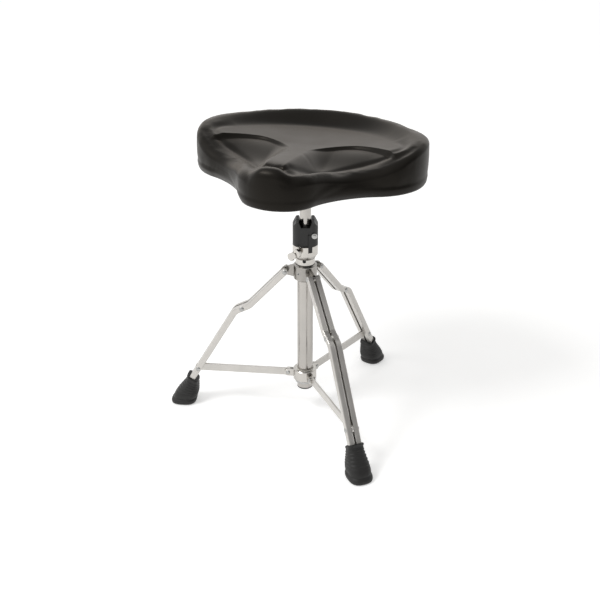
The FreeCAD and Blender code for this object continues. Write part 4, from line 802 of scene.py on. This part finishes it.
def swell(pad, start, foot_height):
    """Moves of a pad's points when it swells as cloth under pressure, its foot held."""
    held = pad.vertex_groups.new(name="held")
    held.add(np.flatnonzero(start[:, 2] < foot_height).tolist(), 1.0, "REPLACE")
    cloth = pad.modifiers.new("cloth", "CLOTH")
    cloth.settings.quality = 6
    cloth.settings.mass = 0.3
    cloth.settings.tension_stiffness = 30
    cloth.settings.compression_stiffness = 30
    cloth.settings.shear_stiffness = 20
    cloth.settings.bending_stiffness = 4
    cloth.settings.use_pressure = True
    cloth.settings.uniform_pressure_force = PAD_PRESSURE
    cloth.settings.vertex_group_mass = "held"
    cloth.settings.effector_weights.gravity = 0
    cloth.collision_settings.use_collision = False
    for step in range(1, PAD_STEPS + 1):
        bpy.context.scene.frame_set(step)
    swollen = pad.evaluated_get(bpy.context.evaluated_depsgraph_get()).to_mesh()
    return points_of(swollen) - start


def pad_out(piece, foot_height):
    """Blows the pad up as foam does under a cover: a coarse copy swells, its moves are
    held under a cap by a hyperbolic tangent, and each of the pad's own points, which
    start a little inside, takes the mean of the moves nearest to it."""
    pad, start = coarse_copy(piece)
    move = swell(pad, start, foot_height)
    reach = np.linalg.norm(move, axis=1)[:, None]
    move *= np.tanh(reach / PAD_CAP) * PAD_CAP / np.maximum(reach, 1e-9)
    near = mathutils.kdtree.KDTree(len(start))
    for index, point in enumerate(start):
        near.insert(point, index)
    near.balance()
    own = points_of(piece.data)
    own_normals = points_of(piece.data, "normal")
    found = np.array([[hit[1:] for hit in near.find_n(point, PAD_NEIGHBOURS)] for point in own])
    weights = 1 / (found[..., 1] + PAD_VOXEL) ** 2
    added = (move[found[..., 0].astype(int)] * weights[..., None]).sum(axis=1)
    added /= weights.sum(axis=1)[:, None]
    rising = ramp(own[:, 2], foot_height, foot_height + PAD_FOOT_BLEND)[:, None]
    own += (added - PAD_INSET * own_normals) * rising
    piece.data.vertices.foreach_set("co", own.ravel())
    piece.data.update()
    bpy.data.objects.remove(pad)
    bpy.context.scene.frame_set(1)


seat_vinyl = vinyl_material()
seat_place = [axis_x, axis_y, seat_low.z]
seat_points, seat_faces = capped(seat_rings() + seat_place, OUTLINE_POINTS)
cover = add_piece("seat_cover", seat_points, seat_faces, seat_vinyl, smooth_angle=75)
pad_out(cover, seat_low.z + PAD_FOOT)
stand_for(cover, "seat", "vinyl", "seat_cushion")

# --- Dust cloth and its staples ---
# Black non-woven cloth over the board's bottom, with wire staples driven through it and
# the vinyl's hem every four centimetres, a little askew as by hand.

dust_cloth = finish_material(
    "dust_cloth", (0.020, 0.020, 0.020), 0.9, spread=0.05, scale=600, bump=0.6, depth=0.0004)
dressed("underside_cloth", "seat", "dust_cloth", dust_cloth, 0.0002)
cloth_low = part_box("underside_cloth")[0]
STAPLE_COUNT = 36
STAPLE_LENGTH = 0.011
STAPLE_WIRE = 0.00055
STAPLE_INSET = 0.021
STAPLE_BEND = 0.001
STAPLE_SINK = 0.0002
STAPLE_SIDES = 8
STAPLE_SKEW = 0.18


def staple_points(middle, way):
    """A staple's back: a wire of eight sides, straight in the middle, whose two ends bend
    up into the cloth along quarter circles."""
    bend = np.linspace(0, math.pi / 2, 5)
    reach = STAPLE_LENGTH / 2 - STAPLE_BEND + STAPLE_BEND * np.sin(bend)
    rise = STAPLE_BEND * (1 - np.cos(bend))
    run = np.concatenate([-reach[::-1], reach])
    lift = np.concatenate([rise[::-1], rise])
    angle = np.linspace(0, 2 * math.pi, STAPLE_SIDES, endpoint=False)
    across = np.array([-way[1], way[0]])
    slope = np.concatenate([-bend[::-1], bend])
    plan = middle + run[:, None, None] * way + STAPLE_WIRE * (
        np.cos(angle)[None, :, None] * across
        - np.sin(slope)[:, None, None] * np.sin(angle)[None, :, None] * way
    )
    height = lift[:, None] + STAPLE_WIRE * np.cos(slope)[:, None] * np.sin(angle)
    return np.concatenate([plan, height[..., None]], axis=-1)


staple_line = outline_of_seat(STAPLE_COUNT)
line_way = np.roll(staple_line, -1, axis=0) - np.roll(staple_line, 1, axis=0)
line_way /= np.linalg.norm(line_way, axis=1)[:, None]
askew = STAPLE_SKEW * np.sin(np.arange(STAPLE_COUNT) * 2.4)
staple_verts, staple_faces = [], []
for point, way, turn in zip(staple_line, line_way, askew):
    inward = np.array([-way[1], way[0]])
    wire_way = np.array([
        way[0] * math.cos(turn) - way[1] * math.sin(turn),
        way[0] * math.sin(turn) + way[1] * math.cos(turn),
    ])
    wire, faces = capped(staple_points(point + inward * STAPLE_INSET, wire_way), STAPLE_SIDES)
    offset = sum(len(part) for part in staple_verts)
    staple_verts.append(wire + [axis_x, axis_y, cloth_low.z - STAPLE_SINK])
    staple_faces.extend([[corner + offset for corner in face] for face in faces])
staples = add_piece(
    "cloth_staples", np.concatenate(staple_verts), staple_faces, zinc_steel, smooth_angle=60)
stand_for(staples, "seat", "zinc_steel")

# --- Floor and studio light ---
# A white sweep under the throne and a white backdrop behind it to the left, a broad soft
# light above it in front on the left, and a dimmer room on the right.

FLOOR_HALF = 12.0
FLOOR_LEVEL = -0.0002
NEAR_GLOW = 0.40
FAR_GLOW = 0.47
GLOW_START = 0.5
GLOW_END = 2.4
BACKDROP_WAY = (-0.62, 0.78, 0)
BACKDROP_TOP = 0.55
BACKDROP_FADE = 0.90
BACKDROP_WHITE = (0.80, 0.79, 0.78, 1)
DIM_WAY = (0.94, 0.10, -0.3)
ROOM_LEVEL = 0.62
DIM_LEVEL = 0.20
KEY_PLACE = (-1.10, -1.30, 2.50)
KEY_AIM = (0, 0, 0.25)
KEY_SIZE = 0.8
KEY_POWER = 34


def seen_share(nodes, links):
    """Two shares, each 1 or 0: whether the camera looks at the surface directly, and
    whether metal or glass shows it, which is the sum of two ray kinds, held at 1."""
    paths = nodes.new("ShaderNodeLightPath")
    mirrored = nodes.new("ShaderNodeMath")
    mirrored.operation = "ADD"
    mirrored.use_clamp = True
    links.new(paths.outputs["Is Glossy Ray"], mirrored.inputs[0])
    links.new(paths.outputs["Is Transmission Ray"], mirrored.inputs[1])
    return paths.outputs["Is Camera Ray"], mirrored.outputs[0]


def floor_material():
    """White sweep: matt paint with faint scuffs, which the camera, metal and glass see a
    little self-lit, and more so far away, so that it reads as the white of the backdrop
    and keeps shadows."""
    material = bpy.data.materials.new("studio_floor")
    material.use_nodes = True
    nodes, links = material.node_tree.nodes, material.node_tree.links
    shader = nodes["Principled BSDF"]
    shader.inputs["Roughness"].default_value = 0.85
    shader.inputs["Specular IOR Level"].default_value = 0.05
    shader.inputs["Emission Color"].default_value = (1, 1, 0.995, 1)
    place = nodes.new("ShaderNodeTexCoord")
    scuffs = nodes.new("ShaderNodeTexNoise")
    scuffs.inputs["Scale"].default_value = 3
    scuffs.inputs["Detail"].default_value = 6
    paint = nodes.new("ShaderNodeMix")
    paint.data_type = "RGBA"
    paint.inputs["A"].default_value = (0.84, 0.84, 0.835, 1)
    paint.inputs["B"].default_value = (0.88, 0.88, 0.875, 1)
    camera_share, mirror_share = seen_share(nodes, links)
    both = nodes.new("ShaderNodeMath")
    both.operation = "ADD"
    both.use_clamp = True
    away = nodes.new("ShaderNodeVectorMath")
    away.operation = "LENGTH"
    glowing = nodes.new("ShaderNodeMapRange")
    glowing.interpolation_type = "SMOOTHSTEP"
    glowing.inputs["From Min"].default_value = GLOW_START
    glowing.inputs["From Max"].default_value = GLOW_END
    glowing.inputs["To Min"].default_value = NEAR_GLOW
    glowing.inputs["To Max"].default_value = FAR_GLOW
    glow = nodes.new("ShaderNodeMath")
    glow.operation = "MULTIPLY"
    links.new(place.outputs["Object"], scuffs.inputs["Vector"])
    links.new(scuffs.outputs["Fac"], paint.inputs["Factor"])
    links.new(paint.outputs["Result"], shader.inputs["Base Color"])
    links.new(camera_share, both.inputs[0])
    links.new(mirror_share, both.inputs[1])
    links.new(place.outputs["Object"], away.inputs[0])
    links.new(away.outputs["Value"], glowing.inputs["Value"])
    links.new(both.outputs[0], glow.inputs[0])
    links.new(glowing.outputs["Result"], glow.inputs[1])
    links.new(glow.outputs[0], shader.inputs["Emission Strength"])
    return material


floor = add_piece("studio_floor", [
    (-FLOOR_HALF, -FLOOR_HALF, FLOOR_LEVEL), (FLOOR_HALF, -FLOOR_HALF, FLOOR_LEVEL),
    (FLOOR_HALF, FLOOR_HALF, FLOOR_LEVEL), (-FLOOR_HALF, FLOOR_HALF, FLOOR_LEVEL),
], [(0, 1, 2, 3)], floor_material())


def studio_world():
    """A plain soft room, with a white backdrop behind and to the left that metal sees up
    to head height; the camera sees plain white all round."""
    world = bpy.data.worlds.new("studio")
    world.use_nodes = True
    nodes, links = world.node_tree.nodes, world.node_tree.links
    background = nodes["Background"]
    place = nodes.new("ShaderNodeTexCoord")
    apart = nodes.new("ShaderNodeSeparateXYZ")
    toward = nodes.new("ShaderNodeVectorMath")
    toward.operation = "DOT_PRODUCT"
    toward.inputs[1].default_value = BACKDROP_WAY
    low = nodes.new("ShaderNodeMapRange")
    low.interpolation_type = "SMOOTHSTEP"
    low.inputs["From Min"].default_value = BACKDROP_TOP
    low.inputs["From Max"].default_value = BACKDROP_FADE
    low.inputs["To Min"].default_value = 1.0
    low.inputs["To Max"].default_value = 0.0
    behind = nodes.new("ShaderNodeMapRange")
    behind.interpolation_type = "SMOOTHSTEP"
    behind.inputs["From Min"].default_value = -0.55
    behind.inputs["From Max"].default_value = 0.25
    behind.inputs["To Min"].default_value = 0.0
    behind.inputs["To Max"].default_value = 1.0
    backdrop = nodes.new("ShaderNodeMath")
    backdrop.operation = "MULTIPLY"
    camera_share, mirror_share = seen_share(nodes, links)
    white = nodes.new("ShaderNodeMath")
    white.operation = "MULTIPLY_ADD"
    white.use_clamp = True
    right = nodes.new("ShaderNodeVectorMath")
    right.operation = "DOT_PRODUCT"
    right.inputs[1].default_value = DIM_WAY
    dim = nodes.new("ShaderNodeMapRange")
    dim.interpolation_type = "SMOOTHSTEP"
    dim.inputs["From Min"].default_value = -0.1
    dim.inputs["From Max"].default_value = 0.8
    dim.inputs["To Min"].default_value = ROOM_LEVEL
    dim.inputs["To Max"].default_value = DIM_LEVEL
    room = nodes.new("ShaderNodeMix")
    room.data_type = "RGBA"
    room.inputs["B"].default_value = BACKDROP_WHITE
    seen = nodes.new("ShaderNodeMix")
    seen.data_type = "RGBA"
    seen.inputs["B"].default_value = (1, 1, 1, 1)
    links.new(place.outputs["Generated"], apart.inputs["Vector"])
    links.new(place.outputs["Generated"], toward.inputs[0])
    links.new(apart.outputs["Z"], low.inputs["Value"])
    links.new(toward.outputs["Value"], behind.inputs["Value"])
    links.new(low.outputs["Result"], backdrop.inputs[0])
    links.new(behind.outputs["Result"], backdrop.inputs[1])
    links.new(mirror_share, white.inputs[0])
    links.new(backdrop.outputs[0], white.inputs[1])
    links.new(camera_share, white.inputs[2])
    links.new(place.outputs["Generated"], right.inputs[0])
    links.new(right.outputs["Value"], dim.inputs["Value"])
    links.new(dim.outputs["Result"], room.inputs["A"])
    links.new(backdrop.outputs[0], room.inputs["Factor"])
    links.new(room.outputs["Result"], seen.inputs["A"])
    links.new(white.outputs[0], seen.inputs["Factor"])
    links.new(seen.outputs["Result"], background.inputs["Color"])
    background.inputs["Strength"].default_value = 1.0
    return world


bpy.context.scene.world = studio_world()


def soft_light(name, place, aim, size, power):
    """A square area lamp at a place, turned to an aim point."""
    lamp = bpy.data.lights.new(name, "AREA")
    lamp.size = size
    lamp.energy = power
    holder = bpy.data.objects.new(name, lamp)
    bpy.context.scene.collection.objects.link(holder)
    away = np.array(place) - np.array(aim)
    flat = math.hypot(away[0], away[1])
    holder.location = place
    holder.rotation_euler = (math.atan2(flat, away[2]), 0, math.atan2(away[1], away[0]) + math.pi / 2)
    return holder


soft_light("key_light", KEY_PLACE, KEY_AIM, KEY_SIZE, KEY_POWER)

# --- Camera ---
# It stands in front of the throne and a little to its right, above the seat, and looks
# down at the tripod, as a product photographer would set it.

CAMERA_TURN = math.radians(20)
CAMERA_TILT = math.radians(26.43)
CAMERA_BACK = 1.681
CAMERA_SIDE = -0.0103
CAMERA_RISE = 1.0913
CAMERA_LENS = 56.27
CAMERA_FILM = 36

camera_data = bpy.data.cameras.new("camera")
camera_data.lens = CAMERA_LENS
camera_data.sensor_width = CAMERA_FILM
camera = bpy.data.objects.new("camera", camera_data)
camera.location = (
    axis_x + CAMERA_BACK * math.sin(CAMERA_TURN) + CAMERA_SIDE * math.cos(CAMERA_TURN),
    axis_y - CAMERA_BACK * math.cos(CAMERA_TURN) + CAMERA_SIDE * math.sin(CAMERA_TURN),
    CAMERA_RISE,
)
camera.rotation_euler = (math.pi / 2 - CAMERA_TILT, 0, CAMERA_TURN)
bpy.context.scene.collection.objects.link(camera)
bpy.context.scene.camera = camera

bpy.context.scene.view_settings.view_transform = "Standard"
